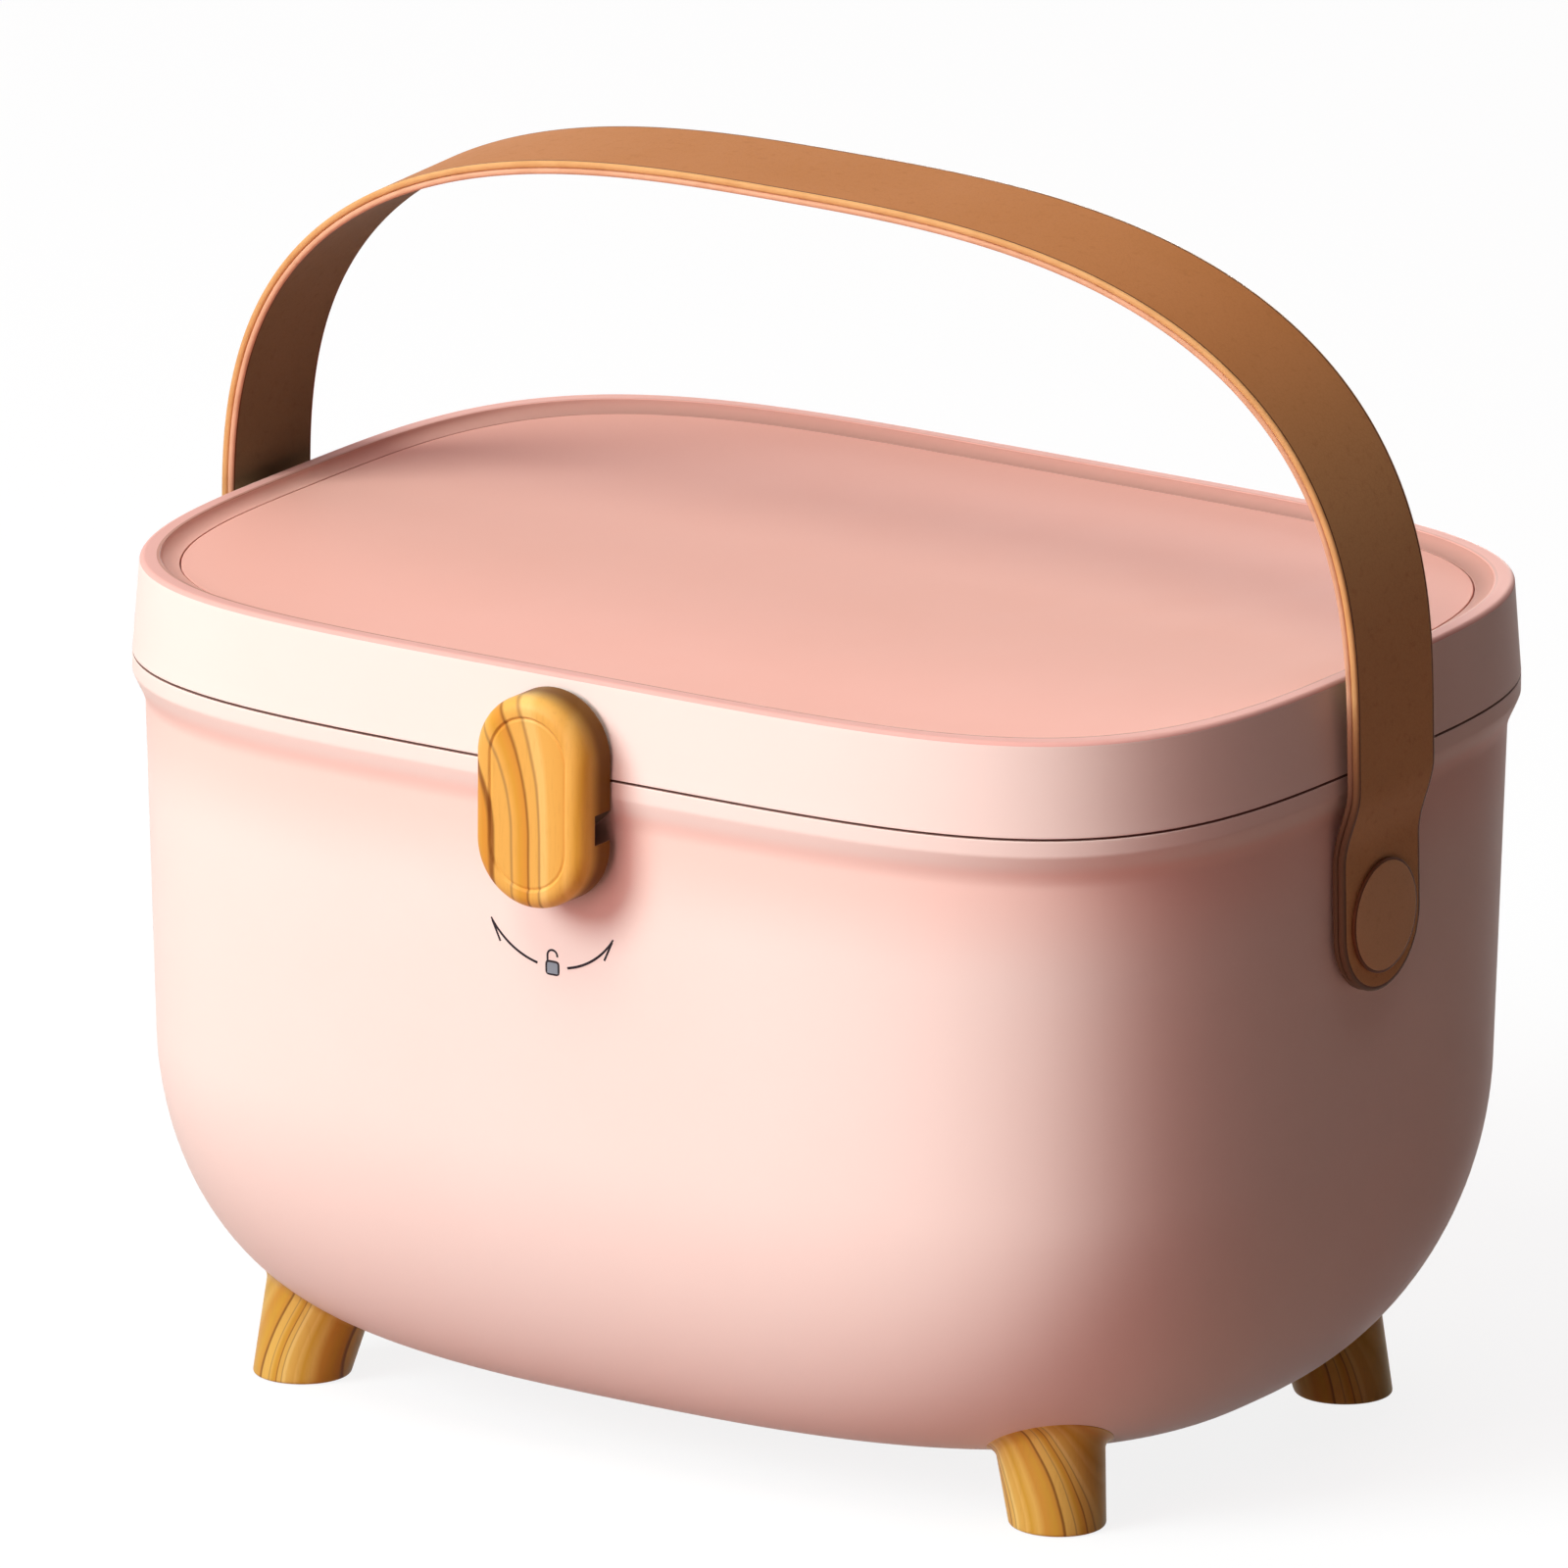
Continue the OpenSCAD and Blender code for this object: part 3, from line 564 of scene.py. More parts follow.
def bodyGrid():
    # from the underside's middle out, up the outer wall, over the rim, down to the floor's middle
    seam, edge, wall = body["seam"], body["edge"], body["wall"]
    base, z = roundingRows(34, body["roundHigh"])
    bottom = bodyRings(base[0], z[0], scale=[0, 0.25, 0.5, 0.75, 0.95])
    low = bodyRings(base, z)
    wallZ = np.linspace(roundZ, stepZ, 10)[1:-1]
    upright = bodyRings(wallInset(wallZ), wallZ)
    t = np.linspace(1, 0, 22)
    stepBase = body["flangeOut"] * (smoothStep(t) + t * (2 - t)) / 2
    step = bodyRings(stepBase, stepZ + body["stepHeight"] * (1 - t))
    rising, falling = quarterTurn(6)
    flangeZ = [seam - body["flangeHeight"] + 0.5, seam - 2, seam - 1, *(seam - edge * falling)]
    flange = bodyRings(0.0, flangeZ, side=np.concatenate([np.zeros(3), edge * rising]))
    rising, falling = (course[::-1] for course in quarterTurn(5))
    rim = bodyRings(wallInset(seam), seam - edge * falling, side=wall - edge * rising)
    downZ = np.linspace(seam - edge, roundZ, 10)[1:-1]
    down = bodyRings(wallInset(downZ), downZ, side=wall)
    innerBase, innerZ = roundingRows(28, body["roundHigh"] - body["floor"], False)
    inner = bodyRings(innerBase, innerZ, side=wall)
    floor = bodyRings(innerBase[-1], innerZ[-1], side=wall, scale=[0.9, 0.6, 0.3, 0])
    rows = [bottom, low, upright, step, flange, rim, down, inner, floor]
    rimAt = sum(len(part) for part in rows[:5])
    colour = np.zeros(sum(len(part) for part in rows), int)
    # the flange's last rows at the seam take the painted seam shade
    colour[rimAt - 4 : rimAt] = 1
    return np.concatenate(rows), colour


hinge = {
    "x": 75.0,
    "y": 117.7,
    "radius": 4.5,
    "long": 12.0,
    "pitch": 12.4,
    "pin": 1.5,
    "clear": 0.1,
    "gap": 0.3,
    "soft": 0.35,
}


def knuckle(x, upper):
    # a barrel on the hinge line with a web back into the shell, above or below the seam
    radius, seam, half = hinge["radius"], body["seam"], hinge["long"] / 2
    backY = planEdge(abs(x) + half, 0) - body["wall"] / 2
    start = -np.pi - math.asin(hinge["gap"] / radius) if upper else -np.pi / 2
    turn = np.linspace(start, np.pi / 2 if upper else np.pi, 48)
    barrel = np.column_stack([hinge["y"] + radius * np.cos(turn), seam + radius * np.sin(turn)])
    web = (seam + hinge["gap"], seam + radius) if upper else (seam - radius, seam)
    outline = np.concatenate([[[backY, web[0]]], barrel, [[backY, web[1]]]])
    return prism("knuckle", outline, x - half, x + half, hinge["soft"], "x")


foot = {
    "x": 105.0,
    "y": 61.6,
    "radius": 11.2,
    "grow": 3.0,
    "coneHigh": 36.0,
    "splay": 13.0,
    "lip": 2.0,
    "lipDeep": 2.0,
    "edge": 0.7,
    "columns": 96,
}


def outsideBody(points):
    # above 0 outside the large rounding, below 0 inside it
    x, y, z = points[..., 0], points[..., 1], np.clip(points[..., 2], body["floorGap"], roundZ)
    s = np.arcsin(np.clip((roundZ - z) / body["roundHigh"], 0, 1))
    inset = wallInset(z) + body["roundWide"] * (1 - np.cos(s))
    squareX, squareY = squareness(inset)
    ring = np.abs(x / (plan["halfX"] - inset)) ** squareX + np.abs(y / (plan["halfY"] - inset)) ** squareY
    return np.where(points[..., 2] < body["floorGap"], 1.0, ring - 1)


def meetBody(pointAt, low, high):
    # halves the span between two lists of places until it lies on the body's outer surface
    for _ in range(40):
        middle = (low + high) / 2
        out = outsideBody(pointAt(middle)) > 0
        low, high = np.where(out, middle, low), np.where(out, high, middle)
    return low


def footGrid(sx, sy):
    # a splayed cone from the floor up to the body's curve, with a concave fillet that ends in a thin lip
    turn, splay = math.atan2(sy * foot["y"], sx * foot["x"]), math.radians(foot["splay"])
    outwards, upwards = direction(turn, splay), direction(turn, splay + math.pi / 2)
    sideways = direction(turn + math.pi / 2, 0)
    centre = np.array([sx * foot["x"], sy * foot["y"], 0])
    angle = np.linspace(0, 2 * np.pi, foot["columns"], endpoint=False)
    taper = foot["grow"] / foot["coneHigh"]

    def point(along, more, share=1.0):
        radius = (foot["radius"] + taper * along + more) * share
        across = np.cos(angle)[:, None] * outwards + np.sin(angle)[:, None] * sideways
        return centre + radius[:, None] * across + along[:, None] * upwards

    def atHeight(z, more):
        lift = outwards[2] * np.cos(angle)
        return (z - lift * (foot["radius"] + more)) / (upwards[2] + taper * lift)

    def atBody(more, share=1.0):
        start = np.zeros(len(angle))
        return meetBody(lambda along: point(along, more, share), start, start + foot["coneHigh"])

    edge, lip = foot["edge"], foot["lip"]
    floorRing = point(atHeight(0.0, -edge), -edge)
    middle = floorRing.mean(axis=0)
    rows = [middle + share * (floorRing - middle) for share in (0, 0.5, 0.96)]
    for q in arc(0, 90, 6):
        more = -edge * (1 - math.sin(q))
        rows.append(point(atHeight(edge * (1 - math.cos(q)), more), more))
    low, high = atHeight(edge, 0), atBody(0.0) - foot["lipDeep"]
    rows += [point(low + share * (high - low), 0.0) for share in np.linspace(0, 1, 12)[1:]]
    for q in arc(0, 90, 9)[1:]:
        more = lip * (1 - math.cos(q))
        rows.append(point(atBody(more) - foot["lipDeep"] * (1 - math.sin(q)), more))
    rows += [point(atBody(lip, share) + 0.15, lip, share) for share in (0.97, 0.7, 0.35, 0)]
    return np.stack(rows) * mm


footWays = {"front_left": (-1, -1), "front_right": (1, -1), "back_left": (-1, 1), "back_right": (1, 1)}
for way, signs in footWays.items():
    made = gridObject("foot." + way, footGrid(*signs), [footWood[signs[0]]])
    dress(made, "body", "wood_look", "foot_" + way)
print("feet made")


def undersideAt(x, y):
    # the height of the body's outer surface above points of the floor
    low, high = np.full(np.shape(x), body["floorGap"] - 1), np.full(np.shape(x), roundZ)
    return meetBody(lambda z: np.stack([x, y, z], axis=-1), low, high)


boss = {
    "x": 102.51,
    "y": 60.14,
    "radius": 6.0,
    "top": 29.5,
    "screw": 2.0,
    "soft": 0.5,
    "inWall": 1.4,
}


def bossGrid(sx, sy):
    # a round post whose bottom follows the body's curve inside the wall
    radius, soft = boss["radius"], boss["soft"]
    rising, falling = quarterTurn(4)
    r = [0, radius * 0.6, radius, *(radius - soft * rising), 0]
    grid = latheGrid(r, np.zeros(len(r)), 48)
    grid = grid + np.array([sx * boss["x"], sy * boss["y"], 0])
    grid[:3, :, 2] = undersideAt(grid[:3, :, 0], grid[:3, :, 1]) + boss["inWall"]
    grid[3:-1, :, 2] = (boss["top"] - soft * falling)[:, None]
    grid[-1, :, 2] = boss["top"]
    return grid * mm


ledge = {
    "wide": 20.0,
    "low": 161.8,
    "top": 167.8,
    "out": 3.6,
    "x": 80.0,
    "y": 45.0,
    "inWall": 1.2,
    "soft": 0.5,
}
innerInset = wallInset(body["seam"]) + body["wall"]


def ledgeOutline(sx, sy, onFront):
    # straight towards the room and along the wall's curve at the back, as seen from above
    span = np.linspace(-0.5, 0.5, 9) * ledge["wide"]
    if onFront:
        x, y = ledge["x"] + span[::-1], planEdge(ledge["x"], innerInset) - ledge["out"]
        wall = np.column_stack([x, planEdge(x, innerInset - ledge["inWall"])])
        outline = np.concatenate([[[x[-1], y], [x[0], y]], wall])
    else:
        x, y = planEdge(ledge["y"], innerInset, "Y", "X") - ledge["out"], ledge["y"] + span
        wall = np.column_stack([planEdge(y, innerInset - ledge["inWall"], "Y", "X"), y])
        outline = np.concatenate([[[x, y[-1]], [x, y[0]]], wall])
    outline = outline * np.array([sx, sy])
    return outline if sx * sy > 0 else outline[::-1]


bodyRows, bodyColour = bodyGrid()
bodyShell = gridObject("bodyShell", bodyRows, [bodyPlastic, seamShade], bodyColour)
extras = [knuckle(side * hinge["x"] + end * hinge["pitch"], False) for side in (-1, 1) for end in (-1, 1)]
for signs in footWays.values():
    extras.append(gridObject("boss", bossGrid(*signs)))
    for onFront in (True, False):
        outline = ledgeOutline(*signs, onFront)
        extras.append(prism("ledge", outline, ledge["low"], ledge["top"], ledge["soft"]))
carve(bodyShell, joinPieces("extras", extras), "UNION")
rivetZ, pivotZ, studZ = 138.7, 180.1, 158.5
bore = {
    "rivet": 4.0,
    "rivetAt": 148.4,
    "stud": 1.5,
    "pivot": 2.15,
}
bores = [rod("bore", "x", hinge["pin"], -100, 100, (0, hinge["y"], body["seam"]))]
for x in (-bore["rivetAt"], bore["rivetAt"]):
    bores.append(rod("bore", "x", bore["rivet"], x - 8, x + 8, (0, 0, rivetZ)))
bores.append(rod("bore", "y", bore["stud"], -120, -100, (0, 0, studZ)))
for sx, sy in footWays.values():
    bores.append(rod("bore", "z", boss["screw"], 5, 40, (sx * boss["x"], sy * boss["y"], 0)))
carve(bodyShell, joinPieces("bores", bores))
shadeByAngle(bodyShell)
dress(bodyShell, "body", "pink_plastic", "body_shell")
print("body made")


# Lid

lid = {
    "lean": 1.4,
    "bottom": 175.3,
    "top": 197.7,
    "rimRound": 1.2,
    "rimFlat": 3.0,
    "slopeWide": 3.8,
    "drop": 2.4,
    "panelThick": 1.6,
    "panelGap": 0.3,
    "panelSoft": 0.18,
    "ceiling": 191.1,
    "ceilingBend": 0.8,
    "wall": 2.6,
    "soft": 0.3,
    "crease": 0.12,
    "colourFrom": 12.0,
    # the width of the painted shade line at the rim's inner edge
    "shadeLineWide": 0.8,
}


def lidInset(z):
    # the lean grows evenly from the seam to the top
    return lid["lean"] * (z - body["seam"]) / (lid["top"] - body["seam"])


def lidGrid():
    # from the ceiling's middle down the inner wall, up the outer wall, over the rim, into the pocket
    names = "top", "bottom", "wall", "lean", "rimRound", "drop", "soft", "crease", "ceiling"
    top, bottom, wall, lean, rimRound, drop, soft, crease, ceiling = (lid[name] for name in names)
    bend = lid["ceilingBend"]
    ceilingInset = wall + lidInset(ceiling)
    rising, falling = quarterTurn(5)
    innerZ = np.array([ceiling - 1.2, 187, 183, 179, 176.2])
    outerZ = np.array([176, 179, 183, 187, 191, 194, 195.8])
    flatStart = lean + rimRound
    slopeStart = flatStart + lid["rimFlat"]
    slopeEnd = slopeStart + lid["slopeWide"]
    s = arc(8, 86, 14)
    edge = arc(0, 90, 13)
    pocketZ = top - drop - lid["panelThick"]
    parts = [
        (ceilingInset + bend, ceiling, [0, 0.3, 0.6, 0.9, 0.99]),
        (ceilingInset + bend * falling, ceiling - bend * rising),
        (wall + lidInset(innerZ), innerZ),
        (wall - soft * rising, bottom + soft * falling),
        (soft * falling, bottom + soft * rising),
        (lean * (outerZ - bottom) / (top - rimRound - bottom), outerZ),
        (lean + rimRound * (1 - np.cos(edge)), top - rimRound * (1 - np.sin(edge))),
        ([flatStart + 0.3, flatStart + 1.5, slopeStart - lid["shadeLineWide"]], top),
        (slopeStart - soft * falling, top - soft * rising),
        (slopeEnd - lid["slopeWide"] * np.cos(s), top - drop * np.sin(s)),
        (slopeEnd - crease * falling, top - drop - crease * rising),
        (slopeEnd, [top - drop - 0.5, pocketZ]),
        (slopeEnd, pocketZ, [0.99, 0.9, 0.5, 0]),
    ]
    rows = [planRings(*part) for part in parts]
    counts = [len(part) for part in rows]
    seamAt, lineAt = sum(counts[:4]) - 1, sum(counts[:8]) - 1
    rimAt = sum(counts[:6]) + int(np.searchsorted(np.degrees(edge), lid["colourFrom"]))
    colour = np.zeros(sum(counts), int)
    # the inner rows take the darker pink of painted shade
    colour[:seamAt] = 5
    # the rows at the lid's bottom edge take the painted seam shade
    colour[seamAt : seamAt + 4] = 1
    colour[rimAt:] = 2
    # the painted shade line along the rim's inner edge
    colour[lineAt : lineAt + 4] = 3
    colour[lineAt + 4 : sum(counts[:11])] = 4
    return np.concatenate(rows), colour


lidRows, lidColour = lidGrid()
lidLooks = [pinkPlastic, seamShade, rimPlastic, rimShadeLine, slopePlastic, shadedInnerPlastic]
lidShell = gridObject("lidShell", lidRows, lidLooks, lidColour)
lidKnuckles = [knuckle(side * hinge["x"], True) for side in (-1, 1)]
carve(lidShell, joinPieces("lidKnuckles", lidKnuckles), "UNION")
lidBores = [
    rod("bore", "x", hinge["pin"] + hinge["clear"], -100, 100, (0, hinge["y"], body["seam"])),
    rod("bore", "y", bore["pivot"], -120, -100, (0, 0, pivotZ)),
]
carve(lidShell, joinPieces("lidBores", lidBores))
shadeByAngle(lidShell)
dress(lidShell, "lid", "lid_plastic", "lid_shell")


def panelGrid():
    # from the middle of the underside out and over a softened edge to the middle of the top
    inset = lid["lean"] + lid["rimRound"] + lid["rimFlat"] + lid["slopeWide"] + lid["panelGap"]
    top, soft = lid["top"] - lid["drop"], lid["panelSoft"]
    low = top - lid["panelThick"]
    rising, falling = quarterTurn(4)
    parts = [
        (inset, low, [0, 0.5, 0.9, 0.995]),
        (inset, [low, low + 0.2, top - 0.4]),
        (inset + soft * rising, top - soft * falling),
        (inset + soft, top, [0.998, 0.99, 0.95, 0.85, 0.7, 0.5, 0.25, 0]),
    ]
    return np.concatenate([planRings(*part) for part in parts])


lidPanel = gridObject("lidPanel", panelGrid(), [salmonPlastic])
shadeByAngle(lidPanel)
dress(lidPanel, "lid", "salmon_panel", "lid_panel")
print("lid made")


# Latch

latch = {
    "halfWide": 15.1,
    "straight": 20.2,
    "thick": 12.0,
    "edge": 3.5,
    "backEdge": 0.4,
    "backY": -112.9,
    "centreZ": 170.0,
    "grooveIn": 4.9,
    "grooveHalf": 0.65,
    "grooveDeep": 0.38,
    "fieldDrop": 0.28,
    "channelRadius": 21.6,
    "channelHalf": 2.5,
    "channelDeep": 6.6,
    "plateRadius": 12.0,
    "plateDeep": 2.0,
    "screwRadius": 2.0,
    "screwDeep": 8.0,
    "columns": 240,
}


def stadiumRows(inward, height, radius, straight, count):
    # a row is two half circles joined by straight sides, drawn in by `inward` and lifted to `height`
    quarterLength = straight / 2 + np.pi / 2 * radius
    place = np.linspace(0, quarterLength, count // 4 + 1)
    angle = np.clip((place - straight / 2) / radius, 0, np.pi / 2)
    spine = np.minimum(place, straight / 2)
    normalX, normalY = np.cos(angle), np.sin(angle)
    normalX[-1] = 0
    first, back = slice(0, -1), slice(-1, 0, -1)
    spineY = np.concatenate([spine[first], spine[back], -spine[first], -spine[back]])
    outX = np.concatenate([normalX[first], -normalX[back], -normalX[first], normalX[back]])
    outY = np.concatenate([normalY[first], normalY[back], -normalY[first], -normalY[back]])
    reach = (radius - np.asarray(inward, float))[:, None]
    a, b = reach * outX, spineY + reach * outY
    return a, b, np.repeat(np.asarray(height, float)[:, None], len(spineY), axis=1)


def latchProfile():
    # how far in and how high each row lies, from the back's middle round to the front's middle
    edge, back, thick, wide = (latch[key] for key in ("edge", "backEdge", "thick", "halfWide"))
    grooveIn, grooveHalf = latch["grooveIn"], latch["grooveHalf"]
    (risingBack, fallingBack), (rising, falling) = quarterTurn(4), quarterTurn(12)
    groove = np.linspace(-1, 1, 9)
    dip = latch["grooveDeep"] * (1 + np.cos(np.pi * groove)) / 2
    dip = dip + latch["fieldDrop"] * smoothStep((groove + 1) / 2)
    inward = [
        [wide, 8, 1.2],
        back * fallingBack,
        [0, 0],
        edge * rising,
        [edge + 0.25, grooveIn - grooveHalf - 0.15],
        grooveIn + grooveHalf * groove,
        [grooveIn + grooveHalf + 0.2, 7, 10, wide],
    ]
    field = thick - latch["fieldDrop"]
    height = [[0, 0, 0], back * risingBack, [1.0, thick - edge - 0.5], thick - edge * falling]
    height += [[thick, thick], thick - dip, [field] * 4]
    return np.concatenate(inward), np.concatenate(height)


def latchGrid():
    # the profile carried round a stadium that stands upright in front of the lid
    inward, height = latchProfile()
    a, b, h = stadiumRows(inward, height, latch["halfWide"], latch["straight"], latch["columns"])
    return np.stack([a, latch["backY"] - h, latch["centreZ"] + b], axis=-1) * mm


latchLooks = [latchWood, darkPlasticAndNotchShade]
latchCover = gridObject("latchCover", latchGrid(), latchLooks)
backY, reach, half = latch["backY"], latch["channelRadius"], latch["channelHalf"]
channelBack, deep = backY + 1, latch["channelDeep"] + 1
ringRadius = [reach - half, reach + half, reach + half, reach - half, reach - half]
ringGrid = towards(latheGrid(ringRadius, [0, 0, deep, deep, 0], 128), "-y")
cutters = [gridObject("channelRing", (ringGrid + np.array([0, channelBack, pivotZ])) * mm)]
slotLow, slotHigh = (-half, channelBack - deep, pivotZ - 52), (half, channelBack, pivotZ - reach)
cutters.append(boxPiece("channelSlot", slotLow, slotHigh))
for seat in ("plate", "screw"):
    seatFace = backY - latch[seat + "Deep"]
    cutters.append(rod("seat", "y", latch[seat + "Radius"], seatFace, channelBack, (0, 0, pivotZ), 96))
# the cut faces of the channel and seats take the dark plastic as painted shade in the notch
for cutter in cutters:
    for material in latchLooks:
        cutter.data.materials.append(material)
    cutter.data.polygons.foreach_set("material_index", np.ones(len(cutter.data.polygons), np.int32))
    carve(latchCover, cutter)
shadeByAngle(latchCover)
dress(latchCover, "latch", "wood_look", "latch_cover")
print("latch made")


# Strap handle: two plies that follow one line over the lid

strap = {
    "wide": 33.2,
    "outer": 1.7,
    "lining": 1.5,
    "half": 157.0,
    "base": 184.8,
    "high": 108.7,
    "squareX": 2.83,
    "squareZ": 2.67,
    "sideX": 152.676,
    "low": -18.0,
    "bendFrom": 15.5,
    "bendTo": 34.5,
    "lean": 2.0,
    "edge": 0.72,
    "line": 0.45,
    "hole": 4.15,
    "columns": 640,
}


def strapLine():
    # up the right side, over a superellipse arch and down the left side, with its length at every point
    u = np.linspace(strap["low"], strap["base"] - rivetZ, 700)
    outwards = smoothStep((u - strap["bendFrom"]) / (strap["bendTo"] - strap["bendFrom"]))
    sideX = strap["sideX"] + (strap["half"] - strap["sideX"]) * outwards
    t = np.linspace(0, np.pi, 9001)[1:-1]
    archX = strap["half"] * signedPower(np.cos(t), 2 / strap["squareX"])
    archZ = strap["base"] + strap["high"] * np.sin(t) ** (2 / strap["squareZ"])
    x = np.concatenate([sideX, archX, -sideX[::-1]])
    z = np.concatenate([rivetZ + u, archZ, rivetZ + u[::-1]])
    length = lengthAlong(x, z)
    even = np.linspace(0, length[-1], 3001)
    x, z = np.interp(even, length, x), np.interp(even, length, z)
    return even, x, z


lineAt, lineX, lineZ = strapLine()
lineTurn = np.unwrap(np.arctan2(np.gradient(lineZ), np.gradient(lineX)))


def strapGrid(near, far):
    # one ply between two depths below the outer face; its outline is a stadium unrolled along the line
    edge, half, total = min(strap["edge"], 0.47 * (far - near)), strap["wide"] / 2, lineAt[-1]
    rising, falling = (edge * course for course in quarterTurn(6))
    inward = [half, 6, edge + 0.5, *falling, *rising, edge + strap["line"], edge + 0.8, 6, half]
    height = [*[-far] * 3, *(rising - far), *(-near - falling), *[-near] * 4]
    y, b, h = stadiumRows(inward, height, half, total - strap["wide"], strap["columns"])
    at = b + total / 2
    turn = np.interp(at, lineAt, lineTurn)
    x = np.interp(at, lineAt, lineX) + np.sin(turn) * h
    z = np.interp(at, lineAt, lineZ) - np.cos(turn) * h - rivetZ
    lean = math.radians(strap["lean"])
    c, s = math.cos(lean), math.sin(lean)
    leaned = [x, y * c - z * s, y * s + z * c + rivetZ]
    material = np.zeros(len(inward), int)
    material[3:14] = 1
    material[[2, 14]] = 2
    return np.stack(leaned, axis=-1) * mm, material


def makePly(name, node, slot, face, side, near, far):
    # one ply with its faces, its sides and the dark line between them, and the holes for the rivets
    grid, rowMaterial = strapGrid(near, far)
    ply = gridObject(name, grid, [face, side, edgeLineAndCapShade], rowMaterial)
    carve(ply, rod("strapHole", "x", strap["hole"], -170, 170, (0, 0, rivetZ), 64))
    shadeByAngle(ply, 50)
    dress(ply, "handle", slot, node)


plies = strap["outer"], strap["outer"] + strap["lining"]
makePly("strapOuter", "strap_outer", "strap_leather", strapLeather, edgePaint, 0, plies[0])
makePly("strapLining", "strap_lining", "strap_lining", liningLeather, liningEdge, *plies)
print("strap made")


# Rivets

rivet = {
    "cap": 13.5,
    "edge": 0.8,
    "dome": 0.4,
    "shank": 4.0,
    "capX": 152.876,
    "nutX": 142.876,
    "soft": 0.25,
    "line": 0.5,
}


def rivetGrid(side):
    # a turned outline: shank, flat underside, thin edge with softened corners painted dark as painted
    # shade, low dome
    rising, falling = quarterTurn(4)
    s, shank, cap, soft = arc(8, 90, 30), rivet["shank"], rivet["cap"], rivet["soft"]
    inner, face = rivet["capX"], rivet["capX"] + rivet["edge"]
    disc = (cap - rivet["line"]) * np.cos(s)
    r = [0, shank - 0.5, shank, shank, shank + 0.2, *(cap - soft * falling), *(cap - soft * rising)]
    x = [*[rivet["nutX"]] * 3, inner, inner, *(inner + soft * rising), *(face - soft * falling)]
    r, x = [*r, *disc[:-1], 0], [*x, *(face + rivet["dome"] * np.sin(s))]
    place = towards(latheGrid(r, x, 144), "x" if side > 0 else "-x") + np.array([0, 0, rivetZ])
    return place * mm, (np.arange(len(r)) > 4) & (np.arange(len(r)) < 13)


for side, way in ((-1, "left"), (1, "right")):
    grid, rowMaterial = rivetGrid(side)
    cap = gridObject("rivetCap." + way, grid, [rivetFinish, edgeLineAndCapShade], rowMaterial)
    shadeByAngle(cap, 40)
    dress(cap, "body", "rivet_brown", "rivet_cap_" + way)
print("rivets made")


# Tray

tray = {
    "top": 170.0,
    "low": 128.0,
    "wall": 1.8,
    "sideGap": 5.5,
    "rimGap": 1.2,
    "rimThick": 2.2,
    "lean": 2.0,
    "round": 6.0,
    "soft": 0.6,
    "guide": 2.2,
    "guideSoft": 0.4,
    "inWall": 1.2,
    "dividerThick": 1.8,
    "dividerHigh": 33.0,
    "dividerX": 46.0,
    "dividerGap": 0.3,
}


def trayGrid():
    # from the underside's middle out, up the outer wall, over the rim, down to the floor's middle
    top, low, wall, rounding, soft = (tray[key] for key in ("top", "low", "wall", "round", "soft"))
    side, s = innerInset + tray["sideGap"], arc(90, 0, 9)
    lowest, t = side + tray["lean"], s[::-1]
    rising, falling = quarterTurn(5)
    rimInset, rimLow = innerInset + tray["rimGap"], top - tray["rimThick"]

    def sideInset(z, more):
        return side + more + tray["lean"] * (top - z) / (top - low - rounding)

    outerZ = np.array([low + rounding + 1, 145, 156, rimLow - 1, rimLow])
    innerRound = rounding - wall
    innerZ = np.array([top - 1.5, 160, 150, 140, low + rounding + 1])
    parts = [
        (lowest + rounding, low, [0, 0.5, 0.9, 0.99]),
        (lowest + rounding * (1 - np.cos(s)), low + rounding * (1 - np.sin(s))),
        (sideInset(outerZ, 0), outerZ),
        ([side - 0.3], rimLow),
        (rimInset + soft * falling, rimLow + soft * rising),
        (rimInset + soft * rising, top - soft * falling),
        (side + wall - soft * falling, top - soft * rising),
        (sideInset(innerZ, wall), innerZ),
        (lowest + wall + innerRound * (1 - np.cos(t)), low + wall + innerRound * (1 - np.sin(t))),
        (lowest + wall + innerRound, low + wall, [0.99, 0.9, 0.5, 0]),
    ]
    return np.concatenate([planRings(*part) for part in parts])


innerTray = gridObject("innerTray", trayGrid(), [whitePlastic])
tubInset = innerInset + tray["sideGap"] + tray["wall"] + tray["lean"]
longEnd, shortEnd = plan["halfX"] - tubInset, planEdge(tray["dividerX"], tubInset)
guides, half, soft = [], tray["guide"] / 2, tray["guideSoft"]
low, high = tray["low"] + 1, tray["low"] + tray["wall"] + tray["dividerHigh"]
y = shortEnd - tray["guide"], shortEnd + tray["inWall"]
for side in (-1, 1):
    for pair in (-1, 1):
        shift = pair * (tray["dividerThick"] / 2 + tray["dividerGap"] + half)
        x = sorted([side * (longEnd - tray["guide"]), side * (longEnd + tray["inWall"])])
        guides.append(boxPiece("guide", (x[0], shift - half, low), (x[1], shift + half, high), soft))
        x = side * tray["dividerX"] + shift
        guides.append(boxPiece("guide", (x - half, y[0], low), (x + half, y[1], high), soft))
carve(innerTray, joinPieces("guides", guides), "UNION")
shadeByAngle(innerTray)
dress(innerTray, "tray", "white_plastic", "inner_tray")
print("tray made")


# Print below the latch: an arrow each way and an open padlock, as a thin layer of ink on the wall

ink = {
    "x": -3.1,
    "pivotZ": 146.8,
    "radius": 19.8,
    "line": 0.6,
    "thin": 0.5,
    "barbIn": 2.5,
    "barbDown": 5.4,
    "lift": 0.06,
    "sink": 0.1,
    "lockZ": 126.8,
    "lockWide": 3.4,
    "lockHigh": 3.1,
    "bow": 1.35,
}


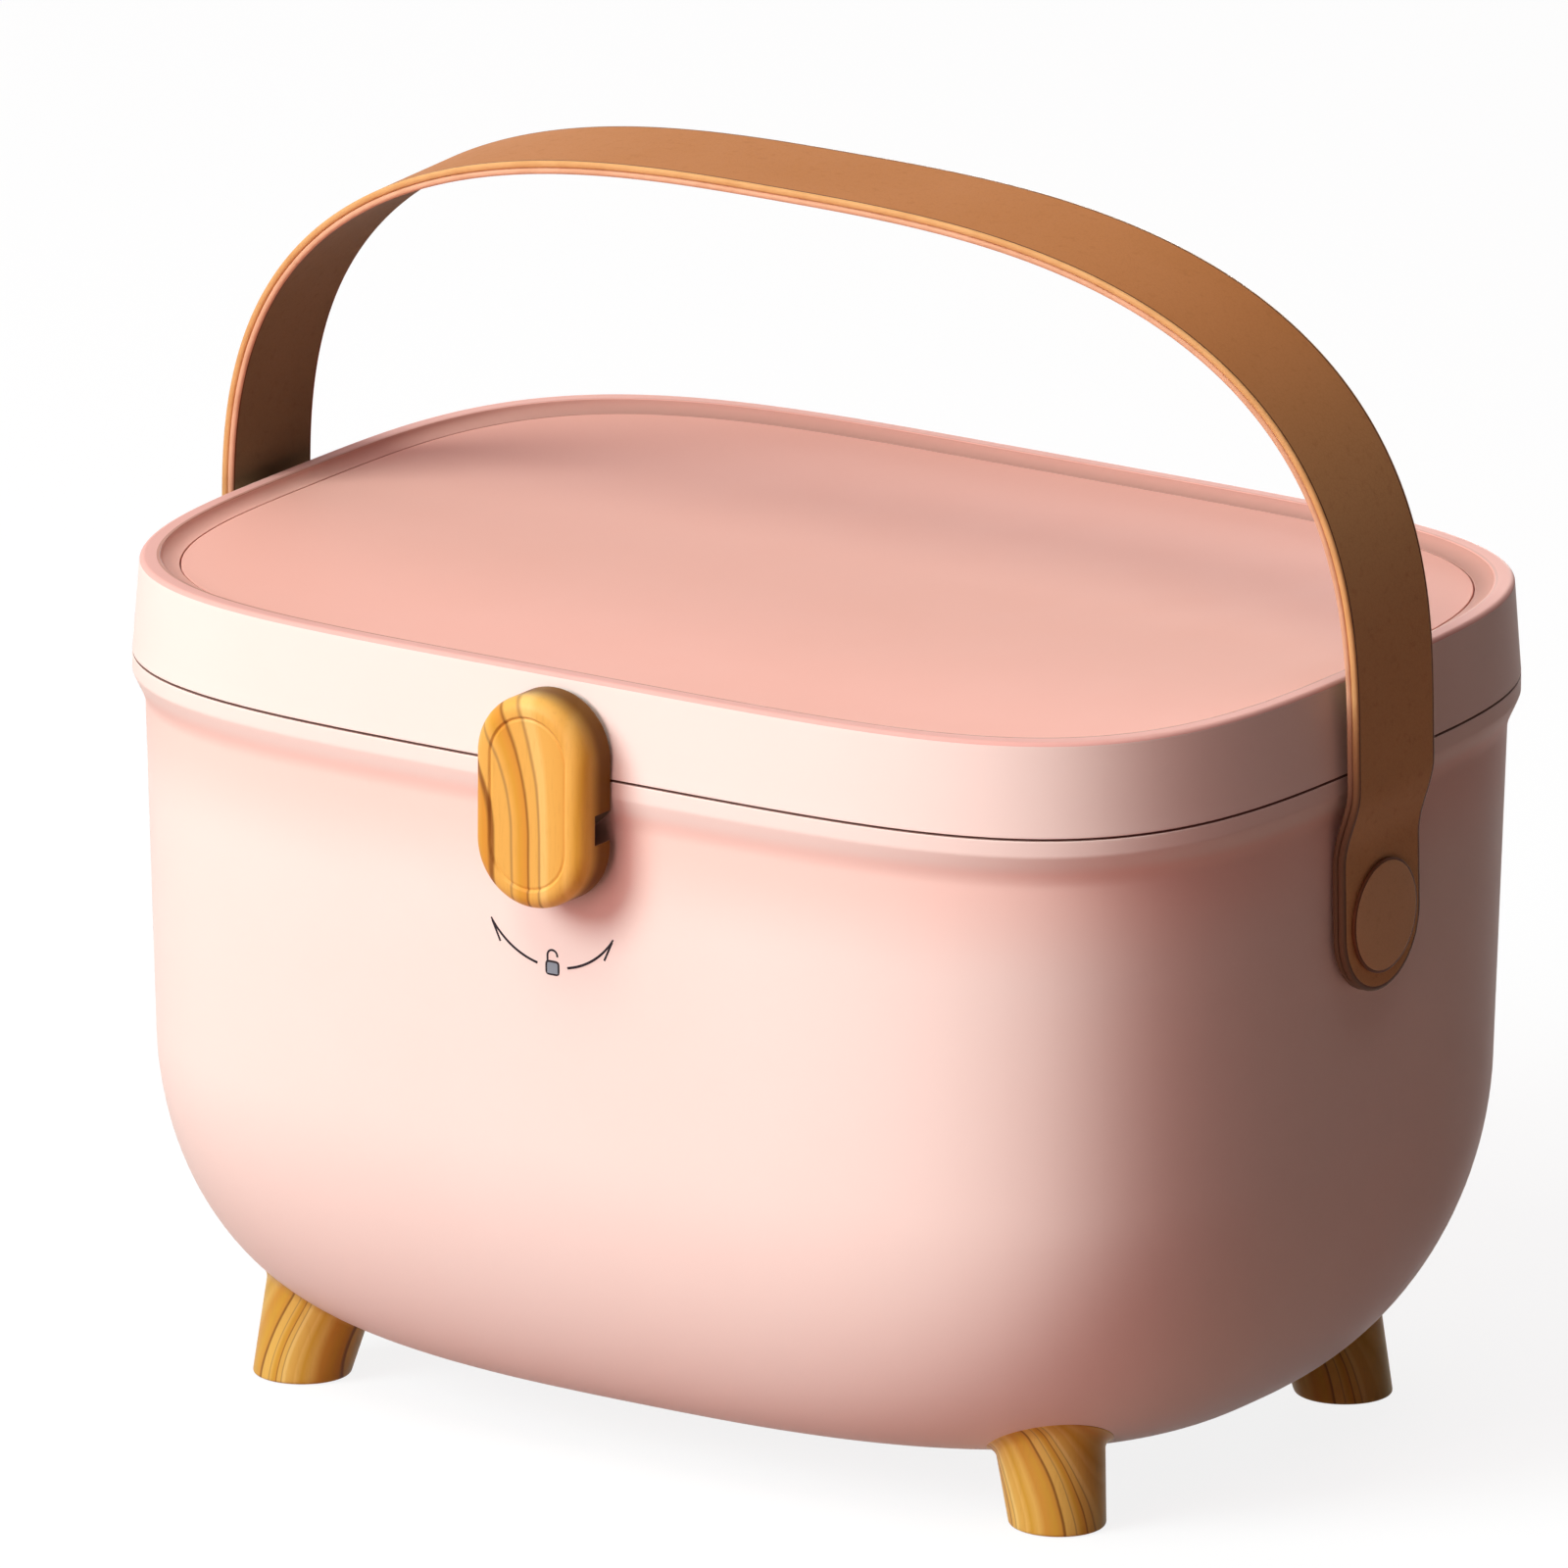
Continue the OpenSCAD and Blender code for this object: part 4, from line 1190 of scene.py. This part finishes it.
def inkStrip(line, width):
    # a line in X and Z with a width, as a slab that starts just inside the wall and ends just proud of it
    ahead = np.gradient(line, axis=0)
    ahead /= np.linalg.norm(ahead, axis=1)[:, None]
    half = np.broadcast_to(width, len(line))[:, None] / 2
    aside = np.column_stack([-ahead[:, 1], ahead[:, 0]]) * half
    left, right = line + aside, line - aside
    wallY = wallInset(line[:, 1]) - plan["halfY"]
    out, back = wallY - ink["lift"], wallY + ink["sink"]
    sides = (left, out), (right, out), (right, back), (left, back)
    ring = np.stack([np.column_stack([at[:, 0], y, at[:, 1]]) for at, y in sides], axis=1) * mm
    ends = ring[[0, -1]].mean(axis=1, keepdims=True).repeat(4, axis=1)
    return gridObject("ink", np.concatenate([ends[:1], ring, ends[1:]]))


def arrow(side):
    # an arc about the latch's print centre with a one-sided barb at its tip
    angle = arc(side * 12 - 90, side * 58 - 90, 40)
    centre = np.array([ink["x"], ink["pivotZ"]])
    line = centre + ink["radius"] * np.column_stack([np.cos(angle), np.sin(angle)])
    width = ink["line"] * (1 - 0.3 * np.linspace(0, 1, 40) ** 4)
    step = np.linspace(0.12, 1, 12)[:, None]
    barb = line[-1] - step * np.array([side * ink["barbIn"], ink["barbDown"]])
    return [inkStrip(line, width), inkStrip(barb, ink["thin"])]


def padlock():
    # an open shackle over a rounded body
    x, z, wide, high = ink["x"], ink["lockZ"], ink["lockWide"], ink["lockHigh"]
    turn = np.linspace(np.pi, -0.15, 24)
    bend, bowZ = ink["bow"], z + high / 2 + 1.4
    bow = np.column_stack([x + bend * np.cos(turn), bowZ + bend * np.sin(turn)])
    shackle = np.concatenate([[[x - bend, z + high / 2 - 0.3]], bow])
    angle = np.linspace(0, 2 * np.pi, 61)
    across, up = (signedPower(course(angle), 2 / 5) for course in (np.cos, np.sin))
    outline = np.column_stack([x + wide / 2 * across, z + high / 2 * up])
    fill = np.column_stack([np.full(2, x), [z - high / 2 + 0.2, z + high / 2 - 0.2]])
    lines = [inkStrip(shackle, ink["thin"]), inkStrip(outline, ink["thin"])]
    return lines, inkStrip(fill, wide - ink["thin"])


lockLines, lockMiddle = padlock()
dress(joinPieces("lockPrint", arrow(-1) + arrow(1) + lockLines, [inkDark]), "body", "dark_plastic")
dress(joinPieces("lockFill", [lockMiddle], [inkGrey]), "body", "dark_plastic")
print("print made")


# Nodes that are shown as they were constructed

keptNodes = {
    "foot_screws": steel,
    "catch_stud": darkPlasticAndNotchShade,
    "latch_plate": darkPlasticAndNotchShade,
    "latch_screw": steel,
    "latch_washer": whitePlastic,
    "divider_long": whitePlastic,
}
for way in ("left", "right"):
    keptNodes["hinge_pin_" + way] = steel
    for part in ("rivet_washer_", "rivet_nut_", "divider_"):
        keptNodes[part + way] = whitePlastic
for name, material in keptNodes.items():
    mesh = cadNodes[name].data
    mesh.materials.clear()
    mesh.materials.append(material)
print("kept nodes dressed")


# Floor, light and camera

studio = {
    "floorSize": 30.0,
    "floorDrop": 0.0002,
    "floorGlow": 0.86,
    "floorPale": 0.17,
    "floorWarm": (0.33, 0.198, 0.168),
    "distance": 3.0,
    "middle": 0.15,
}
lamps = {
    "key": {"way": (-27, 28), "level": 0.82, "size": 1.5, "colour": (0.83, 0.985, 1)},
    "shadow": {"way": (-10, 57), "level": 0.3, "size": 1.2, "colour": (0.9, 1, 0.93)},
    "top": {"way": (-60, 80), "level": 0.62, "size": 4.6, "colour": (1, 0.85, 0.87)},
    "front": {"way": (0, 6), "level": 0.41, "size": 1.7, "colour": (1, 0.47, 0.48)},
    "back": {"way": (205, 3), "level": 0.28, "size": 0.7, "colour": (1, 0.96, 0.94), "gloss": 0},
}


def seenShare(f):
    # 1 for a ray from the camera, off a glossy surface or through a clear one, otherwise 0
    share = f.node("LightPath", {}, {}, "Is Camera Ray")
    for kind in ("Is Glossy Ray", "Is Transmission Ray"):
        share = share.maths("MAXIMUM", share, f.node("LightPath", {}, {}, kind))
    return share


def makeFloor():
    # seen by the camera it is near white and still takes a shadow; to all other light it is a warm grey
    half, z = studio["floorSize"] / 2, -studio["floorDrop"]
    points = np.array([[-half, -half, z], [half, -half, z], [half, half, z], [-half, half, z]])
    f = Finish("floorFinish")
    warm = f.node("BsdfDiffuse", {}, {"Color": (*studio["floorWarm"], 1)})
    pale = f.node("BsdfDiffuse", {}, {"Color": (studio["floorPale"],) * 3 + (1,)})
    glow = f.node("Emission", {}, {"Color": (1, 1, 1, 1), "Strength": studio["floorGlow"]})
    shown = f.node("AddShader", {}, {0: pale, 1: glow})
    finish = f.close(f.node("MixShader", {}, {0: seenShare(f), 1: warm, 2: shown}))
    meshObject("floor", points, [[0, 1, 2, 3]], [finish])


def makeWorld():
    # white where the camera or a reflection looks past the floor, black for all other light
    f = Finish("studioWorld", bpy.data.worlds)
    backdrop = f.node("Background", {}, {"Color": (1, 1, 1, 1), "Strength": seenShare(f)})
    bpy.context.scene.world = f.close(backdrop, "OutputWorld")


def awayFrom(azimuth, elevation):
    # from the box towards a lamp or the camera, in degrees; azimuth 0 is in front of the latch
    return Vector(direction(math.radians(azimuth - 90), math.radians(elevation)))


def addLamp(name, way, level, size, colour, gloss=1):
    # a round panel that faces the box; at level 1 a white surface square to it renders as 1
    away = awayFrom(*way)
    lamp = bpy.data.lights.new(name, "AREA")
    lamp.shape = "DISK"
    lamp.size = size
    lamp.color = colour
    lamp.specular_factor = gloss
    lamp.energy = level * math.pi**2 * studio["distance"] ** 2
    holder = addToScene(name, lamp)
    holder.location = Vector((0, 0, studio["middle"])) + away * studio["distance"]
    holder.rotation_mode = "QUATERNION"
    holder.rotation_quaternion = (-away).to_track_quat("-Z", "Y")


view = {
    "azimuth": 33.191,
    "elevation": 16.229,
    "roll": 0.278,
    "lens": 742.25,
    "distance": 7.5,
    "aim": (-0.0115, 0, 0.143),
}


def makeCamera():
    # it looks back along its direction from the box, with its sides turned about that line by the roll
    back = awayFrom(view["azimuth"], view["elevation"])
    right = awayFrom(view["azimuth"] + 90, 0)
    roll = math.radians(view["roll"])
    up = back.cross(right)
    rolledRight = right * math.cos(roll) + up * math.sin(roll)
    rolledUp = up * math.cos(roll) - right * math.sin(roll)
    data = bpy.data.cameras.new("camera")
    data.lens = view["lens"]
    data.sensor_width = 36
    data.clip_end = 100
    camera = addToScene("camera", data)
    matrix = Matrix((rolledRight, rolledUp, back)).transposed().to_4x4()
    matrix.translation = Vector(view["aim"]) + back * view["distance"]
    camera.matrix_world = matrix
    bpy.context.scene.camera = camera


makeFloor()
makeWorld()
for name, lamp in lamps.items():
    addLamp(name + "Lamp", **lamp)
makeCamera()
bpy.context.scene.view_settings.view_transform = "Standard"
print("studio made")
